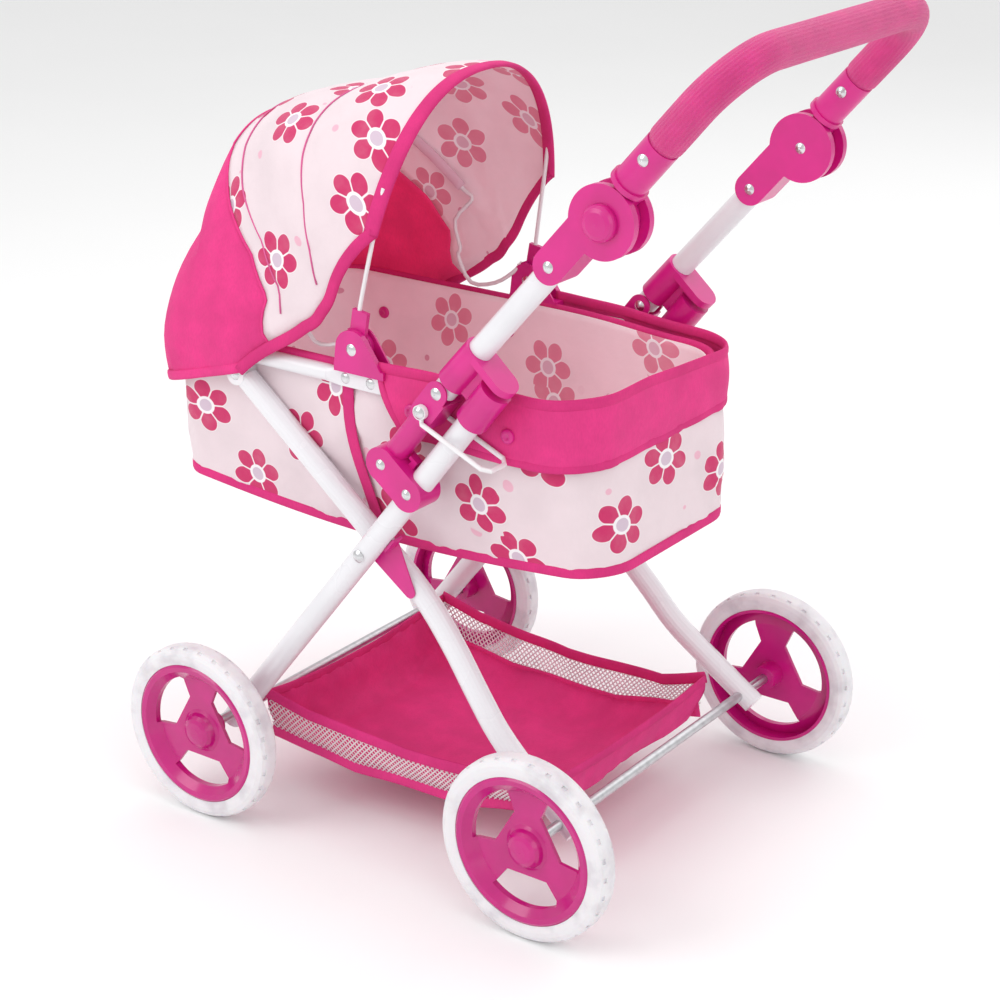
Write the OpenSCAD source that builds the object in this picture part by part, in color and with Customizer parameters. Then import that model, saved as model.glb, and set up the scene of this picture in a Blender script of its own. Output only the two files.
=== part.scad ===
// Doll stroller: folding X-frame pram with a soft carriage, a fan hood, a basket and an adjustable handle.
// Frame: +Z up, +X towards the person who pushes, Y across. The floor is z = 0 and y = 0 is the middle.
// Left is the -Y side, seen by the person who pushes. Every length is in millimetres.

/* [Wheels] */
// Outer diameter of the tyres
wheel_d = 145; // [130:1:150]
// Width of a tyre
tyre_w = 20; // [16:1:24]
// Distance between the front and the rear axle
wheelbase = 317; // [300:1:340]
// Width over the outer faces of the tyres
overall_w = 380; // [370:1:400]
// Diameter of the steel axle rods
axle_d = 8; // [6:0.5:9]

/* [Frame] */
// Outer diameter of the frame tubes
tube_d = 18.5; // [17:0.5:19]
// Slope of the main tubes above the floor, in degrees
main_slope = 51.7; // [50:0.1:53]
// Distance of the main tubes from the middle plane
main_y = 134.5; // [133:0.5:136]
// Distance of the rear legs from the middle plane, above the crossing
rear_y = 114; // [114:0.5:115]
// Distance of the rear legs from the middle plane, at the axle
rear_foot_y = 131; // [128:0.5:134]

/* [Handle] */
// Slope of the handle above the floor, in degrees
handle_slope = 48.6; // [47:0.1:50]
// Distance from the fold rivet to the centre of the grip's crossbar
handle_l = 347; // [330:1:360]
// Outer diameter of the foam grip
foam_d = 26; // [25:0.5:28]
// Diameter of the round housing of the tilt joint
joint_d = 52; // [48:1:54]

/* [Carriage] */
// Half of the width of the fabric tub at its rim
tub_half_w = 102; // [98:1:102]
// Height of the rails above the floor
rail_z = 371; // [368:1:374]
// Radius of the hood about its hinge
hood_r = 203; // [200:1:210]

/* [Hidden] */
$fn = 48;

// Colours
magenta = [0.80, 0.10, 0.52];
pink = [0.90, 0.25, 0.50];
foam_pink = [0.88, 0.35, 0.60];
white = [0.95, 0.95, 0.95];
steel = [0.75, 0.75, 0.78];
print_cloth = [0.95, 0.86, 0.87];

// Fits: a shaft turns or slides with run_gap of radial room, other moving faces stay far_gap apart
run_gap = 0.08;
far_gap = 0.5;
tube_r = tube_d / 2;
axle_r = axle_d / 2;
wheel_r = wheel_d / 2;
rivet_r = 3;
screw_r = 2.2;

// Wheels and axles
front_x = -wheelbase / 2;
rear_x = wheelbase / 2;
tyre_out_y = overall_w / 2;
tyre_mid_y = tyre_out_y - tyre_w / 2;
rim_r = 58.5;
hub_r = 14;
spokes = 3;
lugs = 30;

// Main tube line: it starts at the front axle, and s counts along it
pivot_s = 218.2;
bracket_s = 296.5;
q_s = 359;
fold_s = 378.6;
main_top_s = 384;
post_gap = 29.8;
main_foot_s = -13;
bracket_half_y = 12.2;
bracket_half_s = 13;
bracket_end_r = 13.5;
flange_t = 1.5;

function on_main(s, up) = [
  front_x + s * cos(main_slope) - up * sin(main_slope),
  wheel_r + s * sin(main_slope) + up * cos(main_slope)
];
pivot = on_main(pivot_s, 0);
rail_pivot = on_main(q_s, post_gap);
fold_pivot = on_main(fold_s, post_gap);

// Handle line: it starts at the fold rivet, s counts along it and up is square to it
lower_screw_s = 145.5;
joint_s = 201;
joint_up = -6.7;
upper_screw_s = 256;
foam_start_s = 267.5;
arm_half_y = 12.2;
arm_half_w = 12.5;
grip_bend_r = 45;
joint_r = joint_d / 2;
cheek_t = 5.5;
hub_half_y = 6.2;
hub_disc_r = 19;
button_r = 13;
button_y = main_y + arm_half_y;

// Rear leg
rear_slope = 39.4;
rear_top_s = 170;
rear_cap_s = 176.1;
rear_cap_r = 8.5;

// Carriage
tub_floor_z = 255;
tub_top_z = 378;
tub_front_x = -248;
tub_rear_x = 143;
tub_floor_half_w = 82;
tub_wall = 3;
rail_r = 6.5;
rail_y = 112;
rail_front_x = -224;
rail_round_x = -72;
strip_x = -62;
strip_t = 3.5;
strip_y = 114;
rail_rivet_x = [-55, -31];
hoop_r = 3.2;
hoop_y = 106;
hoop_start_x = -36;
hoop_rear_x = 150;
hoop_z = 372;
front_hoop_r = 3;
apron_y = 117.6;
apron_t = 1.5;

// Hood: a fan about the hinge, angles are counted from +X upwards
hood_pivot = [-45, 396];
hood_half_w = 115;
arch_angle = 79;
mid_angle = 112;
panel_angle = 142;
hem_z = 350;
gore_step = 3.3;
gore_step_y = 3;
gore_overlap = 4;
panel_r = 216;
cloth = 1.6;
bow_r = 1.8;
lug_r = 12;
front_lug_y = 113.6;
mid_lug_y = 109.3;
lug_t = 3.8;
socket_l = 30;

// ---------- helpers ----------

// Builds the +Y piece as it is, or its twin on the left
module left() mirror([0, 1, 0]) children();

// A round rod between two points
module rod(a, b, r) {
  d = b - a;
  l = norm(d);
  translate(a)
    rotate([0, acos(d.z / l), atan2(d.y, d.x)])
      cylinder(h = l, r = r);
}

// A rod across, along +Y, at a point [x, z]
module cross_rod(at, y0, y1, r) rod([at.x, y0, at.y], [at.x, y1, at.y], r);

// Places children so that their x runs along the main tube and their z is square to it
module main_frame()
  translate([front_x, 0, wheel_r]) rotate([0, -main_slope, 0]) children();

// Places children so that their x runs along the handle from the fold rivet
module handle_frame()
  translate([fold_pivot.x, 0, fold_pivot.y]) rotate([0, -handle_slope, 0]) children();

// A flat stadium from x0 to x1, with round ends of radius r, between two values of y
module exact_stadium(x0, x1, r, y0, y1) {
  for (x = [x0, x1]) translate([x, y0, 0]) rotate([-90, 0, 0]) cylinder(h = y1 - y0, r = r);
  translate([x0, y0, -r]) cube([x1 - x0, y1 - y0, 2 * r]);
}

// A domed head on a cross rod, pointing to +Y or -Y
module head(at, y, r, h, out = 1)
  translate([at.x, y, at.y]) rotate([out > 0 ? -90 : 90, 0, 0])
    rotate_extrude() intersection() {
      translate([0, h - (r * r + h * h) / (2 * h)]) circle(r = (r * r + h * h) / (2 * h), $fn = 96);
      square([r, h]);
    }

// A rivet: a shank with a domed head at each end
module rivet(at, y0, y1, r, head_r, head_h) {
  cross_rod(at, y0, y1, r);
  head(at, y1, head_r, head_h, 1);
  head(at, y0, head_r, head_h, -1);
}

// Smooth path through points: Catmull-Rom with n steps in each span
function spline(p, n) = [
  for (i = [1 : len(p) - 3]) for (k = [0 : n - 1]) let (
    t = k / n,
    a = p[i - 1], b = p[i], c = p[i + 1], d = p[i + 2]
  ) 0.5 * (2 * b + (c - a) * t + (2 * a - 5 * b + 4 * c - d) * t * t + (3 * b - a - 3 * c + d) * pow(t, 3)),
  p[len(p) - 2]
];

// A tube along a path that lies nearly in a plane square to `side`
module sweep(path, r, side = [0, 1, 0], sides = 20) {
  n = len(path);
  function tangent(i) = let (d = path[min(i + 1, n - 1)] - path[max(i - 1, 0)]) d / norm(d);
  pts = [
    for (i = [0 : n - 1]) let (
      t = tangent(i),
      u0 = cross(t, side), u = u0 / norm(u0), v = cross(t, u)
    ) for (k = [0 : sides - 1]) path[i] + r * (cos(360 * k / sides) * u + sin(360 * k / sides) * v)
  ];
  ends = [[for (k = [0 : sides - 1]) k], [for (k = [0 : sides - 1]) (n - 1) * sides + sides - 1 - k]];
  walls = [
    for (i = [0 : n - 2]) for (k = [0 : sides - 1]) let (
      a = i * sides + k, b = i * sides + (k + 1) % sides
    ) [a, a + sides, b + sides, b]
  ];
  polyhedron(concat(pts), concat(ends, walls), convexity = 6);
}

// ---------- wheels ----------

module at_wheel(x) translate([x, tyre_mid_y, wheel_r]) rotate([-90, 0, 0]) children();

// Tread: a bevelled ring with notches across both shoulders. z points outwards from the stroller.
module tyre() {
  half_w = tyre_w / 2;
  notch_w = 4.2;
  notch_r = wheel_r - 1.6;
  notch_l = 5.3;
  difference() {
    rotate_extrude($fn = 96) polygon([
      [rim_r, 1 - half_w], [rim_r + 5, -half_w], [wheel_r - 5.5, -half_w], [wheel_r - 2.2, 1.4 - half_w],
      [wheel_r - 0.5, 3.8 - half_w], [wheel_r, 6 - half_w], [wheel_r, half_w - 6],
      [wheel_r - 0.5, half_w - 3.8],
      [wheel_r - 2.2, half_w - 1.4], [wheel_r - 5.5, half_w], [rim_r + 5, half_w], [rim_r, half_w - 1]
    ]);
    for (i = [0 : lugs - 1]) for (side = [0, 1])
      rotate([0, 0, (i + side / 2) * 360 / lugs]) mirror([0, 0, side])
        translate([notch_r, -notch_w / 2, half_w - notch_l]) cube([9, notch_w, 9]);
  }
}

// Dished rim: a barrel, a web with three wide spokes and a hub with a domed cap. The bore is blind.
module rim() {
  barrel_t = 2.6;
  web_t = 3;
  bore_r = axle_r + run_gap;
  bore_end = 6;
  hub_in = -tyre_w / 2 - 6;
  difference() {
    rotate_extrude($fn = 96) polygon([
      [rim_r - barrel_t, -tyre_w / 2 + 0.5], [rim_r, -tyre_w / 2 + 0.5], [rim_r, tyre_w / 2 - 1.5],
      [rim_r - 2, tyre_w / 2], [rim_r - 6, tyre_w / 2 - 0.6], [44, 0.5], [hub_r + 4, 0.5], [hub_r + 1.5, 2],
      [hub_r, 5], [hub_r - 2, 7.5], [9, 9], [4.5, 9.8], [0, 10], [0, bore_end],
      [bore_r, bore_end], [bore_r, hub_in], [hub_r - 4, hub_in], [hub_r - 3, 0.5 - web_t],
      [44, 0.5 - web_t], [rim_r - barrel_t, 2]
    ]);
    for (i = [0 : spokes - 1]) rotate([0, 0, 90 + i * 360 / spokes]) spoke_window();
  }
}

// One D-shaped opening between two spokes: an arc outside and a straight edge towards the hub
module spoke_window() {
  outer_r = 47;
  chord_x = 23;
  half_angle = 37;
  translate([0, 0, -20]) linear_extrude(40) intersection() {
    circle(r = outer_r, $fn = 96);
    polygon([
      [chord_x, -chord_x * tan(half_angle)], [80, -80 * tan(half_angle)],
      [80, 80 * tan(half_angle)], [chord_x, chord_x * tan(half_angle)]
    ]);
  }
}

module axle(x) cross_rod([x, wheel_r], -tyre_mid_y - 5.5, tyre_mid_y + 5.5, axle_r);

// ---------- main frame ----------

module main_tube() difference() {
  rod(
    [on_main(main_foot_s, 0).x, main_y, on_main(main_foot_s, 0).y],
    [on_main(main_top_s, 0).x, main_y, on_main(main_top_s, 0).y], tube_r
  );
  cross_rod([front_x, wheel_r], main_y - 20, main_y + 20, axle_r);
  cross_rod(pivot, main_y - 20, main_y + 20, rivet_r + run_gap);
  cross_rod(on_main(bracket_s, 0), main_y - 20, main_y + 20, screw_r);
}

// Double bracket that holds the main tube and the short post side by side
module lower_bracket() difference() {
  main_frame() union() {
    for (up = [0, post_gap]) translate([bracket_s, main_y - bracket_half_y, up])
      rotate([-90, 0, 0]) cylinder(h = 2 * bracket_half_y, r = bracket_end_r);
    translate([bracket_s - bracket_half_s, main_y - bracket_half_y, 0])
      cube([2 * bracket_half_s, 2 * bracket_half_y, post_gap]);
    translate([bracket_s + 8, main_y - 3, post_gap / 2 - 4]) cube([12, 6, 5]);
    translate([bracket_s + 17, main_y - 3, post_gap / 2 - 4]) cube([3, 6, 8]);
  }
  main_frame() for (up = [0, post_gap])
    translate([bracket_s - 30, main_y, up]) rotate([0, 90, 0]) cylinder(h = 60, r = tube_r);
  for (up = [0, post_gap]) cross_rod(on_main(bracket_s, up), main_y - 30, main_y + 30, screw_r);
}

// Short post: a tube in the bracket, with a U-shaped steel shoe that carries the fold rivet
shoe_in = tube_r + 0.45;
shoe_out = shoe_in + flange_t;
module hinge_post() {
  tube_start = bracket_s - 9;
  tube_end = fold_s - tube_r - 2.5;
  shoe_start = q_s - 11;
  shoe_half_w = 9.5;
  web_up = -shoe_half_w - flange_t;
  difference() {
    main_frame() {
      translate([tube_start, main_y, post_gap]) rotate([0, 90, 0])
        cylinder(h = tube_end - tube_start, r = tube_r);
      for (y = [main_y - shoe_out, main_y + shoe_in]) translate([0, 0, post_gap]) {
        exact_stadium(shoe_start + shoe_half_w, fold_s, shoe_half_w, y, y + flange_t);
        translate([shoe_start, y, web_up]) cube([fold_s - shoe_start - 3, flange_t, 4]);
      }
      translate([shoe_start, main_y - shoe_out, post_gap + web_up])
        cube([fold_s - shoe_start - 3, 2 * shoe_out, flange_t]);
      translate([shoe_start, main_y - shoe_out, post_gap - 6])
        cube([tube_end - shoe_start, 2 * shoe_out, 12]);
    }
    cross_rod(fold_pivot, main_y - 30, main_y + 30, rivet_r);
    cross_rod(rail_pivot, main_y - 30, main_y + 30, rivet_r);
    cross_rod(on_main(bracket_s, post_gap), main_y - 30, main_y + 30, screw_r);
  }
}

// Bail: a wire loop with an eye at each end, on the long rivet outside the shoe
bail_r = 1.9;
bail_y = shoe_out + 0.35 + bail_r;
bail_knee = [rail_pivot.x + 1, rail_pivot.y - 9];
bail_end = [99, 339];

// Rivets fixed in the shoes: the fold rivet, and the long rivet that also carries the rail and the bail
module frame_rivets() for (side = [0, 1]) mirror([0, side, 0]) {
  rivet(fold_pivot, main_y - shoe_out, main_y + shoe_out, rivet_r, 4.6, 1.6);
  rivet(rail_pivot, strip_y - strip_t / 2 - far_gap, main_y + bail_y + bail_r + 0.4, rivet_r, 4.6, 2);
}

module bracket_screws() for (side = [0, 1]) mirror([0, side, 0]) for (up = [0, post_gap])
  rivet(on_main(bracket_s, up), main_y - bracket_half_y, main_y + bracket_half_y, screw_r, 4.2, 2);

// Basket under the frame: a shallow cloth tray, open at the top, with a tab to each main tube
module basket() {
  difference() {
    basket_body(0, 0);
    basket_body(2, 2.5);
  }
  tab_w = 12;
  for (side = [0, 1]) mirror([0, side, 0]) hull() {
    translate([-137, 100, 88]) cube([tab_w, 1, 3]);
    translate([basket_tab.x - tab_w / 2, main_y - tube_r - 1, basket_tab.y - 6]) cube([tab_w, 1, 12]);
  }
}

basket_tab = [-131.4, 104.6];
module basket_body(inset, lift) hull() for (sy = [-1, 1]) {
  for (x = [-138 + inset, 132 - inset])
    translate([x, sy * (102 - inset), 90]) cylinder(h = lift > 0 ? 6 : 2, r = 1, $fn = 12);
  for (x = [-118 + inset, 98 - inset])
    translate([x, sy * (86 - inset), 40 + lift]) cylinder(h = 2, r = 5, $fn = 16);
}

// ---------- rear legs ----------

function rear_axis(s, y) = [pivot.x - s * cos(rear_slope), y, pivot.y + s * sin(rear_slope)];
rear_cap = [rear_axis(rear_cap_s, 0).x, rear_axis(rear_cap_s, 0).z];
rear_path = concat([rear_axis(rear_top_s, rear_y)], spline([
  rear_axis(60, rear_y), rear_axis(12, rear_y), [14, rear_y + 0.3, 212.8], [44, 116.8, 180.5],
  [72, 122, 147.5], [94, 125, 122], [124, 128.6, 97.5], [rear_x, rear_foot_y, wheel_r],
  [rear_x + 9.8, rear_foot_y + 0.5, wheel_r - 7], [rear_x + 40, rear_foot_y + 1, wheel_r - 29]
], 4));

module rear_leg() difference() {
  sweep(rear_path, tube_r, sides = 20);
  cross_rod([rear_x, wheel_r], rear_foot_y - 20, rear_foot_y + 20, axle_r);
  cross_rod(pivot, rear_y - 20, rear_y + 20, rivet_r);
  cross_rod(rear_cap, rear_y - 20, rear_y + 20, rear_cap_r);
}

// Rivets of the rear legs: the pivot rivets turn in the main tubes, the short ones hold the end caps
module leg_rivets() for (side = [0, 1]) mirror([0, side, 0]) {
  rivet(pivot, rear_y - tube_r, main_y + tube_r + far_gap, rivet_r, 5, 2.2);
  head(rear_cap, rear_y + tube_r, 4.4, 2, 1);
}

// Stop plates between the legs: a flange on each plate bears under the main tube when the frame is open
module stop_plates() {
  plate_y = rear_y + tube_r + 0.35;
  plate_end = main_y - tube_r - far_gap;
  flange = on_main(pivot_s + 22, -tube_r - far_gap - 1);
  for (side = [0, 1]) mirror([0, side, 0]) {
    difference() {
      hull() {
        cross_rod(pivot, plate_y, plate_end, 8);
        cross_rod([10, 216], plate_y, plate_end, 5);
        cross_rod(flange, plate_y, plate_end, 1);
      }
      cross_rod(pivot, plate_y - 1, plate_end + 1, rivet_r);
    }
    hull() for (s = [-6, 6]) cross_rod(
      [flange.x + s * cos(main_slope), flange.y + s * sin(main_slope)], plate_y, main_y, 1
    );
  }
}

// End caps of the rear legs: the rails lie on them and slide along them as the frame folds
module leg_caps() for (side = [0, 1]) mirror([0, side, 0])
  cross_rod(rear_cap, rear_y - tube_r, rear_y + tube_r, rear_cap_r);

// ---------- carriage ----------

// Rail: a round tube whose rear end is pressed flat and turns on the long rivet
module rail() difference() {
  union() {
    rod([rail_front_x, rail_y, rail_z], [rail_round_x, rail_y, rail_z], rail_r);
    hull() {
      rod([rail_round_x - 6, rail_y, rail_z], [rail_round_x, rail_y, rail_z], rail_r - 0.2);
      translate([strip_x, strip_y - strip_t / 2, rail_z - rail_r]) cube([2, strip_t, 2 * rail_r]);
    }
    translate([strip_x, strip_y - strip_t / 2, rail_z - rail_r])
      cube([rail_pivot.x - strip_x, strip_t, 2 * rail_r]);
    cross_rod([rail_pivot.x, rail_z], strip_y - strip_t / 2, strip_y + strip_t / 2, rail_r);
  }
  cross_rod(rail_pivot, rail_y - 20, rail_y + 20, rivet_r + run_gap);
}

// Hoop in the hem: a U round the rear of the tub, riveted to the flat parts of the rails
module rim_hoop() {
  bend = 34;
  for (sy = [-1, 1]) {
    rod([hoop_start_x, sy * hoop_y, hoop_z], [hoop_rear_x - bend, sy * hoop_y, hoop_z], hoop_r);
    translate([hoop_rear_x - bend, sy * (hoop_y - bend), hoop_z])
      rotate([0, 0, sy > 0 ? 0 : -90]) rotate_extrude(angle = 90) translate([bend, 0]) circle(r = hoop_r);
    translate([rail_rivet_x[1], sy * hoop_y, hoop_z]) rotate([sy > 0 ? -90 : 90, 0, 0])
      cylinder(h = strip_y - strip_t / 2 - hoop_y, r = 2.5);
  }
  rod([hoop_rear_x, -hoop_y + bend, hoop_z], [hoop_rear_x, hoop_y - bend, hoop_z], hoop_r);
}

// Bar that joins the front ends of the rails and carries the front hem
module front_hoop() {
  half = [
    [rail_front_x, 107.2], [rail_front_x - 1, 107.2], [-234, 106.2], [-240.5, 103.5], [-244.5, 96], [-248.5, 87], [-251, 76],
    [-253, 60], [-254.5, 40], [-255, 20]
  ];
  path = concat(
    [for (p = half) [p.x, -p.y, rail_z]],
    [for (i = [len(half) - 1 : -1 : 0]) [half[i].x, half[i].y, rail_z]]
  );
  sweep(path, front_hoop_r, side = [0, 0, 1], sides = 12);
}

module rail_rivets() for (side = [0, 1]) mirror([0, side, 0]) for (x = rail_rivet_x)
  head([x, rail_z], strip_y + strip_t / 2, 4.4, 1.6, 1);

// Rounded slab that the tub and its board are made of
module slab(x0, x1, half_w, r, z, h) hull()
  for (x = [x0 + r, x1 - r]) for (sy = [-1, 1])
    translate([x, sy * (half_w - r), z]) cylinder(h = h, r = r, $fn = 32);

module bassinet() difference() {
  hull() {
    slab(tub_front_x, tub_rear_x + 5, tub_floor_half_w, 30, tub_floor_z, 1);
    slab(tub_front_x, tub_rear_x, tub_half_w, 50, tub_top_z - 1, 1);
  }
  hull() {
    slab(
      tub_front_x + tub_wall, tub_rear_x + 5 - tub_wall, tub_floor_half_w - tub_wall, 28,
      tub_floor_z + tub_wall, 1
    );
    slab(tub_front_x + tub_wall, tub_rear_x - tub_wall, tub_half_w - tub_wall, 48, tub_top_z, 1);
  }
}

// Stiff board that keeps the floor of the tub flat
module base_board()
  slab(tub_front_x + 12, tub_rear_x - 10, tub_floor_half_w - 9, 20, tub_floor_z + tub_wall, 2.5);

// Apron: the cloth band that hangs outside the rear half of the tub
module apron() {
  rear_x = 158.5;
  corner_r = 42;
  z0 = 330;
  z1 = 381;
  lean = 34;
  cut_x = -12;
  difference() {
    exact_slab(-60, rear_x, apron_y, corner_r, z0, z1 - z0);
    exact_slab(-120, rear_x - apron_t, apron_y - apron_t, corner_r - apron_t, z0 - 1, z1 - z0 + 2);
    translate([cut_x, -150, z1]) rotate([0, -lean, 0]) translate([-100, 0, -90]) cube([100, 300, 150]);
    cross_rod(rail_pivot, -150, 150, 8);
  }
}

// Slab with exact round corners
module exact_slab(x0, x1, half_w, r, z, h) {
  for (x = [x0 + r, x1 - r]) for (sy = [-1, 1])
    translate([x, sy * (half_w - r), z]) cylinder(h = h, r = r);
  translate([x0 + r, -half_w, z]) cube([x1 - x0 - 2 * r, 2 * half_w, h]);
  translate([x0, -half_w + r, z]) cube([x1 - x0, 2 * (half_w - r), h]);
}

// ---------- hood ----------

// Unit section of the hood across: b runs from the left edge over the top to the right edge
function section(n, b) = [
  -sign(cos(b)) * pow(abs(cos(b)), 2 / n), pow(abs(sin(b)), 2 / n)
];

// Half section angle at which the section has risen to the share u of the radius
function start_angle(n, u) = asin(pow(u, n / 2));

// Row of points across the hood: a is the fan angle, drop moves the row straight down
function hood_row(a, n, drop, r, half_w, u, steps) = let (b0 = start_angle(n, u)) [
  for (j = [0 : steps]) let (s = section(n, b0 + (180 - 2 * b0) * j / steps)) [
    hood_pivot.x + r * s.y * cos(a), half_w * s.x, hood_pivot.y + r * s.y * sin(a) - drop
  ]
];

// Shell through rows given as [fan angle, squareness, drop]
module shell(rows, r, half_w, u = 0.3, steps = 36) {
  na = len(rows);
  nb = steps + 1;
  m = na * nb;
  pts = [
    for (k = [0, 1]) for (w = rows)
      for (p = hood_row(w[0], w[1], w[2], r - k * cloth, half_w - k * cloth, u, steps)) p
  ];
  function id(k, i, j) = k * m + i * nb + j;
  polyhedron(pts, concat(
    [for (i = [0 : na - 2]) for (j = [0 : steps - 1])
      [id(0, i, j), id(0, i + 1, j), id(0, i + 1, j + 1), id(0, i, j + 1)]],
    [for (i = [0 : na - 2]) for (j = [0 : steps - 1])
      [id(1, i, j), id(1, i, j + 1), id(1, i + 1, j + 1), id(1, i + 1, j)]],
    [for (j = [0 : steps - 1]) [id(0, 0, j), id(0, 0, j + 1), id(1, 0, j + 1), id(1, 0, j)]],
    [for (j = [0 : steps - 1])
      [id(0, na - 1, j), id(1, na - 1, j), id(1, na - 1, j + 1), id(0, na - 1, j + 1)]],
    [for (i = [0 : na - 2]) [id(0, i, 0), id(1, i, 0), id(1, i + 1, 0), id(0, i + 1, 0)]],
    [for (i = [0 : na - 2])
      [id(0, i, steps), id(0, i + 1, steps), id(1, i + 1, steps), id(1, i, steps)]]
  ), convexity = 6);
}

function fan_rows(a0, a1, n, steps) = [for (i = [0 : steps]) [a0 + (a1 - a0) * i / steps, n, 0]];

// Front panel: it fans down to the level of the hinge, then drops square to the hem in front of the rails
module hood_panel() {
  side_drop = hood_pivot.y - 380;
  full_drop = hood_pivot.y - hem_z;
  fan_steps = 8;
  rows = concat(
    [for (i = [0 : fan_steps]) let (t = i / fan_steps)
      [panel_angle + (180 - panel_angle) * t, 2.6 + 2.4 * t, 0]],
    [[180, 7, side_drop], [180, 8, full_drop]]
  );
  difference() {
    shell(rows, panel_r, hood_half_w + gore_step_y);
    translate([-245, -150, hem_z - 10]) cube([300, 300, 379 - hem_z + 10]);
  }
}

module hood_gore_mid()
  shell(fan_rows(mid_angle, panel_angle + gore_overlap, 2.4, 7), hood_r + gore_step, hood_half_w);

module hood_gore_rear()
  shell(fan_rows(arch_angle, mid_angle + gore_overlap, 2.4, 8), hood_r, hood_half_w - gore_step_y, 0.36);

// Wire arch: it starts straight at lug_y, from[0] to from[1] out from the hinge, then follows the hood
module bow(a, y, from) {
  r = hood_r - 4.5;
  half_w = hood_half_w - 9;
  b0 = 22;
  steps = 24;
  lead = [for (s = from) [hood_pivot.x + s * cos(a), -y, hood_pivot.y + s * sin(a)]];
  arch = [for (j = [0 : steps]) let (s = section(2.4, b0 + (180 - 2 * b0) * j / steps))
    [hood_pivot.x + r * s.y * cos(a), half_w * s.x, hood_pivot.y + r * s.y * sin(a)]];
  back = [for (i = [len(lead) - 1 : -1 : 0]) [lead[i].x, -lead[i].y, lead[i].z]];
  sweep(concat(lead, arch, back), bow_r, side = [-sin(a), 0, cos(a)], sides = 10);
}

module front_bow() bow(arch_angle + 1, front_lug_y, [socket_l, socket_l + 5]);
module mid_bow() bow(mid_angle + gore_overlap, mid_lug_y, [lug_r + 4, lug_r + 9]);

// Lug that turns on the hinge pin and holds the end of a wire
module lug(a, y, l, w) difference() {
  union() {
    cross_rod(hood_pivot, y - lug_t / 2, y + lug_t / 2, lug_r);
    translate([hood_pivot.x, 0, hood_pivot.y]) rotate([0, -a, 0])
      translate([0, y - lug_t / 2, -w / 2]) cube([l, lug_t, w]);
  }
  cross_rod(hood_pivot, y - 5, y + 5, rivet_r + run_gap);
}

module bow_sockets() for (side = [0, 1]) mirror([0, side, 0])
  lug(arch_angle + 1, front_lug_y, socket_l, 14);
module mid_lugs() for (side = [0, 1]) mirror([0, side, 0])
  lug(mid_angle + gore_overlap, mid_lug_y, lug_r + 4, 8);

// Hood hinge: a block on the flat part of the rail with a cheek on each side of the two lugs
module hood_hinge() {
  base_x0 = -62;
  base_x1 = -15;
  foot_x0 = strip_x + 2;
  in_y = 105.6;
  out_y = 120.4;
  base_z = rail_z + rail_r;
  lug_bottom = hood_pivot.y - lug_r - far_gap;
  difference() {
    union() {
      translate([base_x0, in_y, base_z]) cube([base_x1 - base_x0, out_y - in_y, lug_bottom - base_z]);
      for (y = [[in_y, mid_lug_y - lug_t / 2 - 0.3], [front_lug_y + lug_t / 2 + 0.3, out_y]]) hull() {
        cross_rod(hood_pivot, y[0], y[1], 15);
        translate([base_x0, y[0], base_z]) cube([base_x1 - base_x0, y[1] - y[0], 2]);
      }
      translate([foot_x0, in_y, rail_z - rail_r])
        cube([-40 - foot_x0, strip_y - strip_t / 2 - in_y, 2 * rail_r]);
    }
    cross_rod(hood_pivot, in_y - 1, out_y + 1, rivet_r);
  }
}

module hood_pins() for (side = [0, 1]) mirror([0, side, 0])
  rivet(hood_pivot, 105.6, 120.4, rivet_r, 4.6, 1.5);

// ---------- handle ----------

tilt_pivot = [
  fold_pivot.x + joint_s * cos(handle_slope) - joint_up * sin(handle_slope),
  fold_pivot.y + joint_s * sin(handle_slope) + joint_up * cos(handle_slope)
];

function on_handle(s, up) = [
  fold_pivot.x + s * cos(handle_slope) - up * sin(handle_slope),
  fold_pivot.y + s * sin(handle_slope) + up * cos(handle_slope)
];

module handle_tube() difference() {
  handle_frame() translate([0, main_y, 0]) rotate([0, 90, 0]) cylinder(h = lower_screw_s + 20, r = tube_r);
  cross_rod(fold_pivot, main_y - 20, main_y + 20, rivet_r + run_gap);
  cross_rod(on_handle(lower_screw_s, 0), main_y - 20, main_y + 20, screw_r);
}

// Extrudes an outline drawn in the plane of the handle's side by half_t both ways from the arm's middle
module flat_piece(half_t)
  translate([0, main_y + half_t, 0]) rotate([90, 0, 0]) linear_extrude(2 * half_t) children();

// Lower arm: a sleeve on the handle tube that ends in the two cheeks of the tilt joint
module lower_arm() difference() {
  handle_frame() flat_piece(arm_half_y) {
    translate([lower_screw_s, 0]) circle(r = arm_half_w);
    translate([lower_screw_s, -arm_half_w]) square([joint_s - lower_screw_s, 2 * arm_half_w]);
    translate([joint_s, joint_up]) circle(r = joint_r);
  }
  handle_frame() translate([lower_screw_s - 30, main_y, 0]) rotate([0, 90, 0]) cylinder(h = 50, r = tube_r);
  cross_rod(tilt_pivot, main_y - hub_half_y - far_gap, main_y + hub_half_y + far_gap, hub_disc_r + far_gap);
  handle_frame() translate([joint_s - 14, main_y - hub_half_y - far_gap, -60])
    cube([80, 2 * (hub_half_y + far_gap), 120]);
  cross_rod(tilt_pivot, main_y, button_y + 5, button_r + run_gap);
  cross_rod(tilt_pivot, main_y - 20, main_y, screw_r);
  cross_rod(on_handle(lower_screw_s, 0), main_y - 20, main_y + 20, screw_r);
}

module tilt_pins() for (side = [0, 1]) mirror([0, side, 0]) {
  cross_rod(tilt_pivot, main_y - arm_half_y, main_y - 1, screw_r);
  head(tilt_pivot, main_y - arm_half_y, 4.2, 1.6, -1);
  rivet(on_handle(lower_screw_s, 0), main_y - arm_half_y, main_y + arm_half_y, screw_r, 4.2, 1.6);
}

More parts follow.
